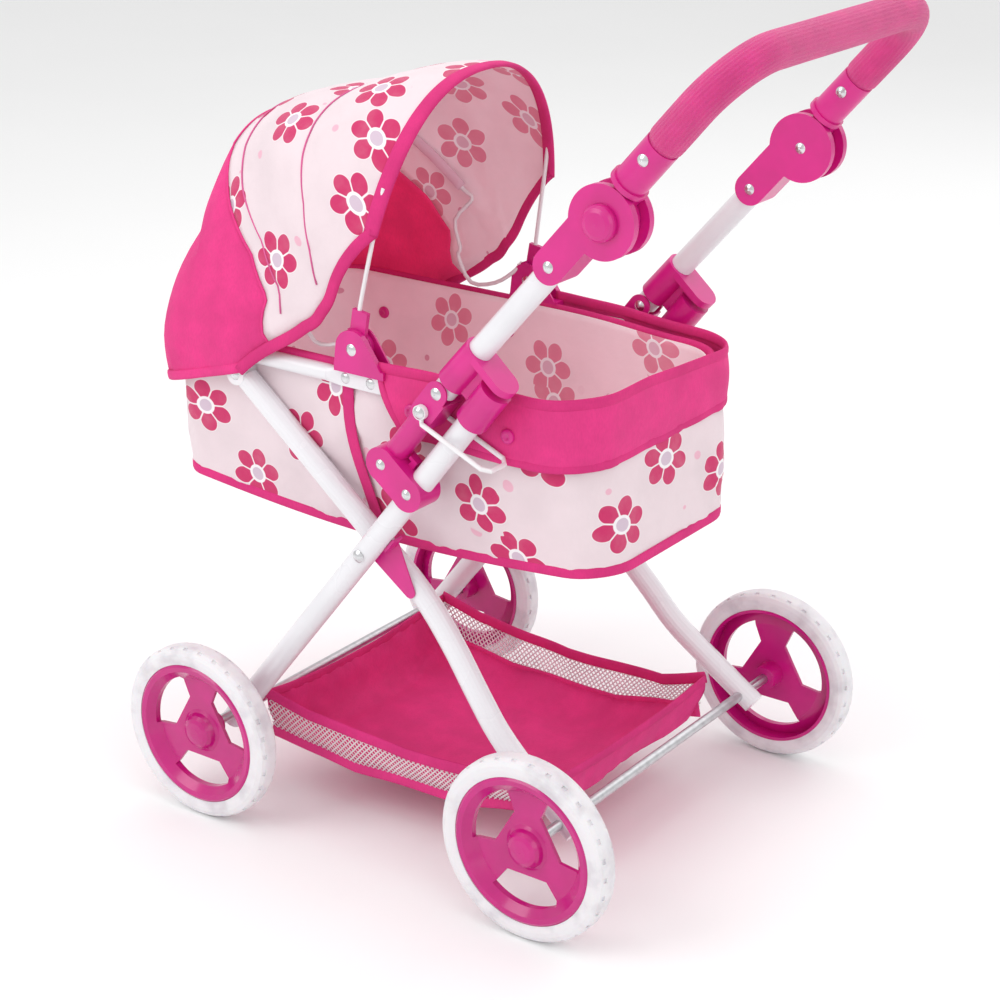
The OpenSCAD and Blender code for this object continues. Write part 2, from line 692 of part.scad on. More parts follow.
// Upper arm: the hub disc turns between the cheeks, the sleeve holds the end of the grip tube
module upper_arm() difference() {
  union() {
    handle_frame() {
      flat_piece(hub_half_y) {
        translate([joint_s, joint_up]) circle(r = hub_disc_r);
        translate([joint_s, -12]) square([29, 17.5]);
      }
      translate([joint_s + 28, main_y, 0]) rotate([0, 90, 0])
        cylinder(h = foam_start_s - joint_s - 28, r = arm_half_w);
      translate([joint_s + 27, main_y, 0]) rotate([0, 90, 0]) cylinder(h = 4, r = arm_half_w + 1.5);
    }
  }
  handle_frame() translate([joint_s + 39, main_y, 0]) rotate([0, 90, 0]) cylinder(h = 60, r = grip_r);
  cross_rod(tilt_pivot, main_y - 20, main_y, screw_r + run_gap);
  cross_rod(tilt_pivot, main_y - 0.1, main_y + 20, button_r + 0.6);
  cross_rod(on_handle(upper_screw_s, 0), main_y - 20, main_y + 20, screw_r);
}

// U-shaped tube or sleeve of the grip, from the start s to the crossbar and back
module grip_path(start_s) handle_frame() {
  for (sy = [-1, 1]) {
    translate([start_s, sy * main_y, 0]) rotate([0, 90, 0])
      cylinder(h = handle_l - grip_bend_r - start_s, r = $r);
    translate([handle_l - grip_bend_r, sy * (main_y - grip_bend_r), 0])
      rotate([0, 0, sy > 0 ? 0 : -90]) rotate_extrude(angle = 90)
        translate([grip_bend_r, 0]) circle(r = $r);
  }
  translate([handle_l, -main_y + grip_bend_r, 0]) rotate([-90, 0, 0])
    cylinder(h = 2 * (main_y - grip_bend_r), r = $r);
}

grip_r = 8;
module grip_tube() difference() {
  grip_path(joint_s + 39, $r = grip_r);
  cross_rod(on_handle(upper_screw_s, 0), -main_y - 20, main_y + 20, screw_r);
}

module foam_grip() difference() {
  grip_path(foam_start_s, $r = foam_d / 2);
  grip_path(foam_start_s - 10, $r = grip_r);
}

module grip_screws() for (side = [0, 1]) mirror([0, side, 0])
  rivet(on_handle(upper_screw_s, 0), main_y - arm_half_w, main_y + arm_half_w, screw_r, 4.2, 1.6);

// Push button of the tilt joint: it slides in the outer cheek
module button() {
  travel = 3;
  inner_y = main_y + hub_half_y + far_gap;
  difference() {
    union() {
      cross_rod(tilt_pivot, inner_y, button_y + 2.5, button_r);
      translate([tilt_pivot.x, button_y + 2.5, tilt_pivot.y]) rotate([-90, 0, 0])
        rotate_extrude() polygon([
          [0, 0], [button_r, 0], [button_r - 0.6, 1.6], [button_r - 2.2, 3.2], [button_r - 5, 4.2], [0, 4.6]
        ]);
    }
    cross_rod(tilt_pivot, inner_y - 1, inner_y + travel, button_r - 5);
  }
}

// Fold collar: one sleeve slides on the handle tube, the other one grips the top of the main tube
collar_s0 = 11;
collar_l = 37;
collar_r = 11.9;
collar_bore = tube_r + run_gap;
mouth_s = 379;
mouth_r = 10.35;
module collar() {
  sleeve_top = fold_s + 35;
  difference() {
    union() {
      handle_frame() translate([collar_s0, main_y, 0]) rotate([0, 90, 0])
        cylinder(h = collar_l, r = collar_r);
      main_frame() translate([mouth_s, main_y, 0]) rotate([0, 90, 0])
        cylinder(h = sleeve_top - mouth_s, r = mouth_r + 2);
      handle_frame() hull() for (up = [0, -28]) translate([collar_s0 + collar_l - 6, main_y, up])
        rotate([0, 90, 0]) cylinder(h = 6, r = 11.5, $fn = 32);
      handle_frame() translate([collar_s0 + 2, main_y - 4, -26]) cube([collar_l - 4, 8, 20]);
    }
    handle_frame() translate([-10, main_y, 0]) rotate([0, 90, 0]) cylinder(h = 90, r = collar_bore);
    main_frame() translate([mouth_s - 5, main_y, 0]) rotate([0, 90, 0])
      cylinder(h = sleeve_top - mouth_s - 2, r = mouth_r);
  }
}

module bail() {
  y0 = main_y - bail_y;
  y1 = main_y + bail_y;
  bend = 5;
  d = bail_end - bail_knee;
  shoulder = bail_end - bend * d / norm(d);
  half = [[bail_knee.x, bail_knee.y + 3.6], bail_knee, shoulder];
  sweep(concat(
    [for (p = half) [p.x, y0, p.y]],
    [[bail_end.x, y0 + bend, bail_end.y], [bail_end.x, y1 - bend, bail_end.y]],
    [for (i = [2 : -1 : 0]) [half[i].x, y1, half[i].y]]
  ), bail_r, side = [-d.y, 0, d.x], sides = 12);
  for (y = [y0, y1]) difference() {
    cross_rod(rail_pivot, y - bail_r, y + bail_r, rivet_r + 2.6);
    cross_rod(rail_pivot, y - 5, y + 5, rivet_r + run_gap);
  }
}

// ---------- drawing ----------

// Moves the finished piece so that x = 0 is the middle of the whole stroller
centre_x = 17.1;
module place() translate([-centre_x, 0, 0]) children();

color(white) place() left() main_tube();  // main_tube_left
color(white) place() main_tube();  // main_tube_right
color(magenta) place() left() lower_bracket();  // lower_bracket_left
color(magenta) place() lower_bracket();  // lower_bracket_right
color(white) place() left() hinge_post();  // hinge_post_left
color(white) place() hinge_post();  // hinge_post_right
color(steel) place() frame_rivets();
color(steel) place() bracket_screws();
color(steel) place() axle(front_x);  // front_axle
color(pink) place() basket();
color(white) place() left() rear_leg();  // rear_leg_left
color(white) place() rear_leg();  // rear_leg_right
color(steel) place() axle(rear_x);  // rear_axle
color(white) place() stop_plates();
color(steel) place() leg_rivets();
color(white) place() leg_caps();
color(white) place() left() at_wheel(front_x) tyre();  // tyre_front_left
color(white) place() at_wheel(front_x) tyre();  // tyre_front_right
color(white) place() left() at_wheel(rear_x) tyre();  // tyre_rear_left
color(white) place() at_wheel(rear_x) tyre();  // tyre_rear_right
color(magenta) place() left() at_wheel(front_x) rim();  // rim_front_left
color(magenta) place() at_wheel(front_x) rim();  // rim_front_right
color(magenta) place() left() at_wheel(rear_x) rim();  // rim_rear_left
color(magenta) place() at_wheel(rear_x) rim();  // rim_rear_right
color(white) place() left() rail();  // rail_left
color(white) place() rail();  // rail_right
color(white) place() rim_hoop();
color(white) place() front_hoop();
color(steel) place() rail_rivets();
color(print_cloth) place() bassinet();
color(print_cloth) place() base_board();
color(pink) place() apron();
color(magenta) place() left() hood_hinge();  // hood_hinge_left
color(magenta) place() hood_hinge();  // hood_hinge_right
color(steel) place() hood_pins();
color(pink) place() hood_panel();
color(white) place() front_bow();
color(magenta) place() bow_sockets();
color(print_cloth) place() hood_gore_rear();
color(white) place() mid_bow();
color(magenta) place() mid_lugs();
color(print_cloth) place() hood_gore_mid();
color(white) place() left() handle_tube();  // handle_tube_left
color(white) place() handle_tube();  // handle_tube_right
color(magenta) place() left() lower_arm();  // lower_arm_left
color(magenta) place() lower_arm();  // lower_arm_right
color(steel) place() tilt_pins();
color(magenta) place() left() collar();  // collar_left
color(magenta) place() collar();  // collar_right
color(steel) place() left() bail();  // bail_left
color(steel) place() bail();  // bail_right
color(magenta) place() left() upper_arm();  // upper_arm_left
color(magenta) place() upper_arm();  // upper_arm_right
color(white) place() grip_tube();
color(foam_pink) place() foam_grip();
color(steel) place() grip_screws();
color(magenta) place() left() button();  // button_left
color(magenta) place() button();  // button_right
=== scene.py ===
"""Looks of the doll stroller: cloth, moulded parts, materials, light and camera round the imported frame."""

import math

import bpy
import numpy as np
from mathutils import Matrix, Vector, noise


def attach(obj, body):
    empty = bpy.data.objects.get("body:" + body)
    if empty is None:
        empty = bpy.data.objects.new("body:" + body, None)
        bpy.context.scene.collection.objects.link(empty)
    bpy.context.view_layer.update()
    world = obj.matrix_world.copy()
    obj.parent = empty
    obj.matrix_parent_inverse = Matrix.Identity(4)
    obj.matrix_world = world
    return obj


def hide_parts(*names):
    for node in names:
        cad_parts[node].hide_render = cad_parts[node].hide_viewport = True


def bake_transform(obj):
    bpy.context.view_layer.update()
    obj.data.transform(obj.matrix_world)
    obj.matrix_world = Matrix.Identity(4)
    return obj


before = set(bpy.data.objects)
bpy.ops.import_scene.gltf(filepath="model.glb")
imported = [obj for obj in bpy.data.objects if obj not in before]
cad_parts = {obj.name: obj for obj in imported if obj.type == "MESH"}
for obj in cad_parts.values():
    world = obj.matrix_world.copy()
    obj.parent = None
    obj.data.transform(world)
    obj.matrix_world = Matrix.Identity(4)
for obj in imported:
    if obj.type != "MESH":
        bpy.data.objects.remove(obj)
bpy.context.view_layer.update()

OFFSET_X = 17.1  # the drawing's x counts from the middle between the axles, the frame's from its own middle
SIDES = (("left", -1), ("right", 1))


def at(x, y, z):
    """A point given in the drawing's millimetres, in the frame's metres."""
    return Vector((x - OFFSET_X, y, z)) / 1000


# ---------- materials ----------


class Value:
    """A number inside a shader that ordinary arithmetic works on."""

    def __init__(self, graph, socket):
        self.graph = graph
        self.socket = socket

    def __add__(self, other):
        return self.graph.math("ADD", self, other)

    __radd__ = __add__

    def __sub__(self, other):
        return self.graph.math("SUBTRACT", self, other)

    def __rsub__(self, other):
        return self.graph.math("SUBTRACT", other, self)

    def __mul__(self, other):
        return self.graph.math("MULTIPLY", self, other)

    __rmul__ = __mul__

    def __truediv__(self, other):
        return self.graph.math("DIVIDE", self, other)


class Graph:
    """A material under construction, with short names for the nodes it uses."""

    def __init__(self, name):
        self.material = bpy.data.materials.new(name)
        self.material.use_nodes = True
        self.tree = self.material.node_tree
        self.shader = self.tree.nodes["Principled BSDF"]

    def node(self, kind, **settings):
        made = self.tree.nodes.new(kind)
        for key, value in settings.items():
            setattr(made, key, value)
        return made

    def put(self, socket, value):
        if isinstance(value, Value):
            value = value.socket
        if isinstance(value, bpy.types.NodeSocket):
            self.tree.links.new(value, socket)
        elif hasattr(value, "__len__") and len(value) == 3 and len(socket.default_value) == 4:
            socket.default_value = (*value, 1)
        else:
            socket.default_value = value

    def set(self, **inputs):
        for key, value in inputs.items():
            self.put(self.shader.inputs[key.replace("_", " ")], value)

    def math(self, operation, *values):
        made = self.node("ShaderNodeMath", operation=operation)
        for socket, value in zip(made.inputs, values):
            self.put(socket, value)
        return Value(self, made.outputs[0])

    def step(self, value, low, high):
        """0 below low, 1 above high, smooth between."""
        made = self.node("ShaderNodeMapRange", interpolation_type="SMOOTHSTEP")
        for name, given in (("Value", value), ("From Min", low), ("From Max", high)):
            self.put(made.inputs[name], given)
        return Value(self, made.outputs[0])

    def mix(self, share, first, second):
        made = self.node("ShaderNodeMix", data_type="RGBA")
        for index, given in ((0, share), (6, first), (7, second)):
            self.put(made.inputs[index], given)
        return made.outputs[2]

    def place(self, name="Object"):
        return self.node("ShaderNodeTexCoord").outputs[name]

    def uv(self, name):
        """(u, v) of a named map, in metres."""
        split = self.node("ShaderNodeSeparateXYZ")
        self.put(split.inputs[0], self.node("ShaderNodeUVMap", uv_map=name).outputs[0])
        return Value(self, split.outputs[0]), Value(self, split.outputs[1])

    def noise(self, where, scale, detail=2, stretch=None):
        if stretch:
            mapping = self.node("ShaderNodeMapping")
            mapping.inputs["Scale"].default_value = stretch
            self.put(mapping.inputs[0], where)
            where = mapping.outputs[0]
        made = self.node("ShaderNodeTexNoise")
        self.put(made.inputs["Vector"], where)
        made.inputs["Scale"].default_value = scale
        made.inputs["Detail"].default_value = detail
        return Value(self, made.outputs[0])

    def bump(self, height, strength=1.0):
        """height is in metres."""
        made = self.node("ShaderNodeBump")
        made.inputs["Distance"].default_value = 1.0
        made.inputs["Strength"].default_value = strength
        self.put(made.inputs["Height"], height)
        self.put(self.shader.inputs["Normal"], made.outputs[0])


def linear(red, green, blue):
    """Screen colour 0-255 to the linear value that a shader takes."""

    def one(c):
        c /= 255
        return c / 12.92 if c <= 0.04045 else ((c + 0.055) / 1.055) ** 2.4

    return one(red), one(green), one(blue)


def shade(colour, amount):
    """The colour made lighter, above 1, or darker, below 1."""
    return tuple(min(1.0, c * amount) for c in colour)


def moulded(name, colour, rough=0.32, grain=0.00001, coat=0.25):
    """Injection moulded plastic: a fine grain, slow differences in gloss and a trace of dust."""
    g = Graph(name)
    where = g.place()
    slow = g.noise(where, 28, 3)
    fine = g.noise(where, 2200, 2)
    g.set(
        Base_Color=g.mix(g.step(slow, 0.35, 0.7), shade(colour, 0.92), shade(colour, 1.06)),
        Roughness=g.step(slow, 0.1, 0.9) * 0.12 + (rough - 0.04),
        Coat_Weight=coat,
        Coat_Roughness=0.12,
        Subsurface_Weight=0.04,
        Subsurface_Scale=0.004,
    )
    g.bump(fine * grain + g.noise(where, 120, 1) * 0.00006)
    return g.material


def painted(name, colour, rough=0.24):
    """Powder-coated tube: gloss with a slight orange peel, a little duller where hands and dust reach."""
    g = Graph(name)
    where = g.place()
    peel = g.noise(where, 380, 2)
    slow = g.noise(where, 14, 3)
    g.set(
        Base_Color=g.mix(g.step(slow, 0.4, 0.75), colour, shade(colour, 0.94)),
        Roughness=g.step(slow, 0.2, 0.9) * 0.14 + rough,
        Coat_Weight=0.5,
        Coat_Roughness=0.08,
    )
    g.bump(peel * 0.00006)
    return g.material


def plated(name, colour, rough):
    """Bright plated steel with fine turning marks."""
    g = Graph(name)
    where = g.place()
    marks = g.noise(where, 900, 3, stretch=(1, 0.15, 1))
    slow = g.noise(where, 160, 2)
    g.set(
        Base_Color=g.mix(g.step(slow, 0.35, 0.8), colour, shade(colour, 0.82)),
        Metallic=1.0,
        Roughness=marks * 0.16 + rough,
    )
    g.bump(marks * 0.00002)
    return g.material


def rubbery(name, colour, darker_grey):
    """Hard foam tyre: matt, pebbled, with slow random patches of a darker grey."""
    g = Graph(name)
    where = g.place()
    pebble = g.noise(where, 1100, 3)
    slow = g.noise(where, 45, 4)
    g.set(
        Base_Color=g.mix(g.step(slow, 0.45, 0.75), colour, darker_grey),
        Roughness=g.step(pebble, 0.2, 0.8) * 0.15 + 0.5,
        Subsurface_Weight=0.08,
        Subsurface_Scale=0.004,
    )
    g.bump(pebble * 0.00012)
    return g.material


def foam(name, colour):
    """Closed-cell foam of the grip: open pores at its skin and a soft sheen."""
    g = Graph(name)
    where = g.place()
    pores = g.noise(where, 1600, 3)
    slow = g.noise(where, 60, 3)
    g.set(
        Base_Color=g.mix(g.step(slow, 0.3, 0.8), shade(colour, 0.92), shade(colour, 1.08)),
        Roughness=0.82,
        Sheen_Weight=0.3,
        Sheen_Roughness=0.5,
        Subsurface_Weight=0.1,
        Subsurface_Scale=0.003,
    )
    g.bump(g.step(pores, 0.35, 0.6) * 0.00022)
    return g.material


def weave(g, period=0.0011):
    """Height of a plain weave in metres, from the UV map, which is in metres."""
    u, v = g.uv("UVMap")
    turn = 2 * math.pi / period
    threads = g.math("SINE", u * turn) * g.math("SINE", v * turn)
    return threads * 0.00005


def finish_cloth(g, where, rough, sheen, tint, creases=1.0, glow=0.0):
    """Weave, creases and sheen. glow stands for the light that comes through thin cloth from behind."""
    crease = g.noise(where, 26, 4) * (0.0016 * creases) + g.noise(where, 75, 3) * (0.0005 * creases)
    g.set(
        Roughness=g.noise(where, 300, 2) * 0.12 + rough,
        Sheen_Weight=sheen,
        Sheen_Roughness=0.45,
        Sheen_Tint=(*tint, 1),
        IOR=1.4,
        Emission_Strength=glow,
    )
    g.put(g.shader.inputs["Emission Color"], g.shader.inputs["Base Color"].links[0].from_socket)
    g.bump(weave(g) + crease)


def plain_cloth(name, colour, rough=0.62, sheen=0.25, creases=1.0, glow=0.0):
    """Dyed nylon: weave, soft creases and a slightly uneven dye."""
    g = Graph(name)
    where = g.place()
    mottle = g.noise(where, 34, 4)
    thread = g.noise(where, 900, 1, stretch=(1, 1, 0.3))
    dyed = g.mix(g.step(mottle, 0.3, 0.75), shade(colour, 0.9), shade(colour, 1.07))
    g.set(Base_Color=g.mix(g.step(thread, 0.35, 0.75) * 0.25, dyed, shade(colour, 0.75)))
    finish_cloth(g, where, rough, sheen, shade(colour, 1.6), creases, glow)
    return g.material


PETAL_LENGTH = 0.0082
PETAL_WIDTH = 0.0070
PETAL_AT = 0.0146
RING_R = 0.0075
CENTRE_R = 0.0054


def printed_cloth(name, base, petal, centre, dot, fade=0.0, glow=0.0):
    """Light cloth with six-petalled flowers placed by the map "flower", and scattered dots."""
    g = Graph(name)
    where = g.place()
    x, y = g.uv("flower")
    edge = 0.00035
    radius = g.math("SQRT", x * x + y * y)
    turn = g.math("ARCTAN2", y, x)
    sixth = math.pi / 3
    local = g.math("MODULO", turn + 6 * sixth, sixth) - sixth / 2
    along = radius * g.math("COSINE", local)
    across = g.math("ABSOLUTE", radius * g.math("SINE", local))
    lengthwise = (along - PETAL_AT) / PETAL_LENGTH
    crosswise = across / PETAL_WIDTH
    rim = g.math("SQRT", lengthwise * lengthwise + crosswise * crosswise)
    round_end = 1 - g.step(rim, 0.96, 1.04)
    wedge = g.step(along * math.tan(sixth / 2) - across, 0.0004, 0.0004 + 2 * edge)
    outside_ring = g.step(radius, RING_R - edge, RING_R + edge)
    petals = round_end * wedge * outside_ring
    middle = 1 - g.step(radius, CENTRE_R - edge, CENTRE_R + edge)
    white = (1 - g.step(radius, RING_R, RING_R + 2 * edge)) * (1 - middle)
    outline = (1 - g.step(rim, 1.04, 1.12)) * g.step(radius, RING_R, RING_R + edge) * (1 - petals)
    dots = g.node("ShaderNodeTexVoronoi", voronoi_dimensions="2D", feature="F1")
    g.put(dots.inputs["Vector"], g.node("ShaderNodeUVMap", uv_map="UVMap").outputs[0])
    dots.inputs["Scale"].default_value = 24
    dots.inputs["Randomness"].default_value = 0.8
    hue = g.node("ShaderNodeSeparateColor")
    g.put(hue.inputs[0], dots.outputs["Color"])
    size = Value(g, hue.outputs[0]) * 0.1 + 0.03
    spot = 1 - g.step(Value(g, dots.outputs["Distance"]) - size, -0.008, 0.008)
    clear = g.step(radius, 0.0245, 0.0265)
    chosen = g.step(Value(g, hue.outputs[1]), 0.55, 0.6)
    spot = spot * clear * chosen
    ink = g.noise(where, 60, 3)
    cloud = g.noise(where, 22, 4)
    ground = g.mix(g.step(cloud, 0.35, 0.75), base, shade(base, 0.93))
    colour = g.mix(spot * 0.8, ground, dot)
    colour = g.mix(outline * 0.65, colour, (0.9, 0.86, 0.87))
    colour = g.mix(petals * (g.step(ink, 0.1, 0.6) * 0.12 + 0.88 - fade), colour, petal)
    colour = g.mix(white, colour, (0.88, 0.85, 0.87))
    colour = g.mix(middle * (1 - fade), colour, centre)
    g.set(Base_Color=colour)
    finish_cloth(g, where, 0.6, 0.2, (1, 0.95, 0.97), glow=glow)
    return g.material


MAGENTA = linear(208, 20, 130)
PINK = linear(224, 52, 130)
BINDING = linear(214, 46, 122)
WHITE = linear(228, 227, 231)

mat_magenta = moulded("magenta_plastic", MAGENTA)
mat_wheel = moulded("magenta_wheel_plastic", linear(192, 12, 120), rough=0.2)
mat_tube = painted("white_tube", WHITE)
mat_wire = painted("white_wire", linear(232, 230, 232), rough=0.3)
mat_tyre = rubbery("white_tyre", linear(228, 226, 229), linear(206, 202, 207))
mat_cap = moulded("white_cap_plastic", linear(235, 233, 236))
mat_steel = plated("plated_steel", (0.72, 0.72, 0.74), 0.16)
mat_axle = plated("zinc_steel", (0.62, 0.62, 0.64), 0.26)
mat_foam = foam("pink_foam", linear(216, 52, 132))
mat_pink = plain_cloth("pink_cloth", PINK)
mat_pink_inside = plain_cloth("pink_cloth_inside", linear(232, 50, 112), glow=0.15)
mat_binding = plain_cloth("pink_binding", BINDING, rough=0.7, sheen=0.15, creases=0.4)
mat_thread = plain_cloth("pink_thread", linear(214, 96, 150), creases=0.0)
mat_mesh = plain_cloth("white_mesh_thread", linear(240, 226, 230), creases=0.0)
mat_print = printed_cloth(
    "printed_cloth", linear(231, 214, 219), linear(200, 40, 100), linear(208, 188, 204),
    linear(232, 168, 190)
)
mat_lining = printed_cloth(
    "printed_cloth_inside", linear(246, 222, 228), linear(214, 78, 122), linear(212, 172, 190),
    linear(212, 136, 162), fade=0.25, glow=0.07
)

CAD_MATERIALS = {
    mat_tube: ["main_tube", "rear_leg", "rail_left", "rail_right", "handle_tube", "grip_tube"],
    mat_magenta: [
        "lower_bracket", "hinge_post", "stop_plates", "hood_hinge", "bow_sockets", "mid_lugs", "lower_arm",
        "collar", "upper_arm", "button",
    ],
    mat_wheel: ["rim_front", "rim_rear"],
    mat_tyre: ["tyre"],
    mat_cap: ["leg_caps"],
    mat_steel: [
        "frame_rivets", "bracket_screws", "leg_rivets", "rail_rivets", "hood_pins", "tilt_pins",
        "grip_screws",
    ],
    mat_axle: ["front_axle", "rear_axle"],
    mat_wire: ["bail"],
}
for material, starts in CAD_MATERIALS.items():
    for node_name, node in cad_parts.items():
        if node_name.startswith(tuple(starts)):
            for index in range(len(node.material_slots)):
                node.material_slots[index].link = "OBJECT"
                node.material_slots[index].material = material


# ---------- meshes ----------


def piece(name, verts, faces, materials, corner_uvs=None, slots=None, smooth=True):
    mesh = bpy.data.meshes.new(name)
    mesh.from_pydata([tuple(v) for v in verts], [], faces)
    for material in materials:
        mesh.materials.append(material)
    mesh.polygons.foreach_set("use_smooth", [smooth] * len(faces))
    if slots is not None:
        mesh.polygons.foreach_set("material_index", slots)
    if corner_uvs is not None:
        layer = mesh.uv_layers.new(name="UVMap")
        layer.data.foreach_set("uv", np.array(corner_uvs, np.float32).ravel())
    obj = bpy.data.objects.new(name, mesh)
    bpy.context.scene.collection.objects.link(obj)
    return obj


def grid(name, rows, materials, closed=False, uv=None, slot_of=None):
    """Cloth from rows of points. The UV map is in metres, and closed joins the last column to the first."""
    p = np.array([[tuple(v) for v in row] for row in rows])
    count, width = p.shape[:2]
    wrapped = np.concatenate([p, p[:, :1]], axis=1) if closed else p
    if uv is None:
        across = np.linalg.norm(np.diff(wrapped, axis=1), axis=2).mean(axis=0)
        down = np.linalg.norm(np.diff(p, axis=0), axis=2).mean(axis=1)
        u = np.concatenate([[0], np.cumsum(across)])
        v = np.concatenate([[0], np.cumsum(down)])
        uv = np.stack(np.broadcast_arrays(u[None, :], v[:, None]), axis=2)
    faces, corners, slots = [], [], []
    for i in range(count - 1):
        for j in range(wrapped.shape[1] - 1):
            k = (j + 1) % width
            faces.append([i * width + j, i * width + k, (i + 1) * width + k, (i + 1) * width + j])
            corners += [uv[i, j], uv[i, j + 1], uv[i + 1, j + 1], uv[i + 1, j]]
            slots.append(slot_of(i, j) if slot_of else 0)
    return piece(name, p.reshape(-1, 3), faces, materials, corners, slots)


def directions(path, closed):
    """Unit tangents along a path."""
    if closed:
        ahead, behind = np.roll(path, -1, axis=0), np.roll(path, 1, axis=0)
    else:
        ahead, behind = np.vstack([path[1:], path[-1:]]), np.vstack([path[:1], path[:-1]])
    step = ahead - behind
    return step / np.maximum(np.linalg.norm(step, axis=1), 1e-9)[:, None]


def swept(path, wide, width, thick, closed=False, sides=10, squareness=2.0):
    """Vertices, faces and corner UVs of an oval or squarish bar. wide is its width's direction."""
    path = np.array([tuple(v) for v in path], float)
    wide = np.broadcast_to(np.array([tuple(v) for v in np.atleast_2d(wide)], float), path.shape)
    along = directions(path, closed)
    w = wide - (wide * along).sum(axis=1)[:, None] * along
    w /= np.linalg.norm(w, axis=1)[:, None]
    n = np.cross(along, w)
    angles = 2 * np.pi * np.arange(sides) / sides
    power = 2 / squareness
    c = np.sign(np.cos(angles)) * np.abs(np.cos(angles)) ** power
    s = np.sign(np.sin(angles)) * np.abs(np.sin(angles)) ** power
    width, thick = np.broadcast_to(width, len(path)), np.broadcast_to(thick, len(path))
    ring = (
        path[:, None, :]
        + c[None, :, None] * (width / 2)[:, None, None] * w[:, None, :]
        + s[None, :, None] * (thick / 2)[:, None, None] * n[:, None, :]
    )
    m = len(path)
    length = np.concatenate([[0], np.cumsum(np.linalg.norm(np.diff(path, axis=0), axis=1))])
    round_it = float(width.mean() + thick.mean()) * 2 / sides
    faces, corners = [], []
    for i in range(m if closed else m - 1):
        i2 = (i + 1) % m
        end = length[i + 1] if i + 1 < m else length[-1] + length[1]
        for k in range(sides):
            k2 = (k + 1) % sides
            faces.append([i * sides + k, i * sides + k2, i2 * sides + k2, i2 * sides + k])
            corners += [
                (length[i], k * round_it), (length[i], (k + 1) * round_it),
                (end, (k + 1) * round_it), (end, k * round_it),
            ]
    if not closed:
        for first, order in ((0, -1), (m - 1, 1)):
            faces.append([first * sides + k for k in range(sides)][::order])
            corners += [(length[first], k * round_it) for k in range(sides)]
    return ring.reshape(-1, 3), faces, corners


def joined(name, parts, material):
    """One piece from several swept bars."""
    verts, faces, corners, base = [], [], [], 0
    for v, f, c in parts:
        verts += list(v)
        faces += [[k + base for k in face] for face in f]
        corners += c
        base += len(v)
    return piece(name, verts, faces, [material], corners)


def bar(name, path, wide, width, thick, material, **options):
    return joined(name, [swept(path, wide, width, thick, **options)], material)


def tape(name, path, width, thick, wide=(0, 0, 1), squareness=2.6):
    """A sewn edge binding, upright unless wide says otherwise."""
    return bar(name, path, wide, width, thick, mat_binding, sides=10, squareness=squareness)


def smooth_path(points, count):
    """A Catmull-Rom path through points, count steps in each span."""
    p = [np.array(tuple(v), float) for v in points]
    p = [2 * p[0] - p[1], *p, 2 * p[-1] - p[-2]]
    out = []
    for i in range(1, len(p) - 2):
        for k in range(count):
            t = k / count
            out.append(
                0.5 * (
                    2 * p[i] + (p[i + 1] - p[i - 1]) * t
                    + (2 * p[i - 1] - 5 * p[i] + 4 * p[i + 1] - p[i + 2]) * t * t
                    + (3 * p[i] - p[i - 1] - 3 * p[i + 1] + p[i + 2]) * t ** 3
                )
            )
    out.append(p[-2])
    return [Vector(q) for q in out]


def modifier(obj, kind, **settings):
    made = obj.modifiers.new(kind.lower(), kind)
    for key, value in settings.items():
        setattr(made, key, value)
    return made


def thicken(obj, thickness, inside=0):
    """Gives cloth its thickness. inside is how many slots later the inner face's material is."""
    return modifier(
        obj, "SOLIDIFY", thickness=thickness, offset=0, material_offset=inside, material_offset_rim=0
    )


def flowers(obj, centres):
    """The map "flower": each face measures from its nearest of centres, (point, turn in degrees) each."""
    mesh = obj.data
    points = np.array([v.co for v in mesh.vertices])
    loops = np.empty(len(mesh.loops), np.int32)
    mesh.loops.foreach_get("vertex_index", loops)
    uvs = np.empty(len(loops) * 2, np.float32)
    mesh.uv_layers["UVMap"].data.foreach_get("uv", uvs)
    uvs = uvs.reshape(-1, 4, 2)
    first_use = {int(v): i for i, v in reversed(list(enumerate(loops)))}
    where = []
    for point, _ in centres:
        nearest = int(np.linalg.norm(points - np.array(tuple(point)), axis=1).argmin())
        loop = first_use[nearest]
        where.append(uvs[loop // 4, loop % 4])
    where = np.array(where)
    middles = uvs.mean(axis=1)
    owner = np.linalg.norm(middles[:, None, :] - where[None], axis=2).argmin(axis=1)
    turns = np.radians([turn for _, turn in centres])[owner]
    local = uvs - where[owner][:, None, :]
    c, s = np.cos(turns)[:, None], np.sin(turns)[:, None]
    u, v = local[..., 0], local[..., 1]
    turned = np.stack([u * c - v * s, u * s + v * c], axis=2)
    layer = mesh.uv_layers.new(name="flower")
    layer.data.foreach_set("uv", turned.astype(np.float32).ravel())
    mesh.uv_layers.active = mesh.uv_layers["UVMap"]


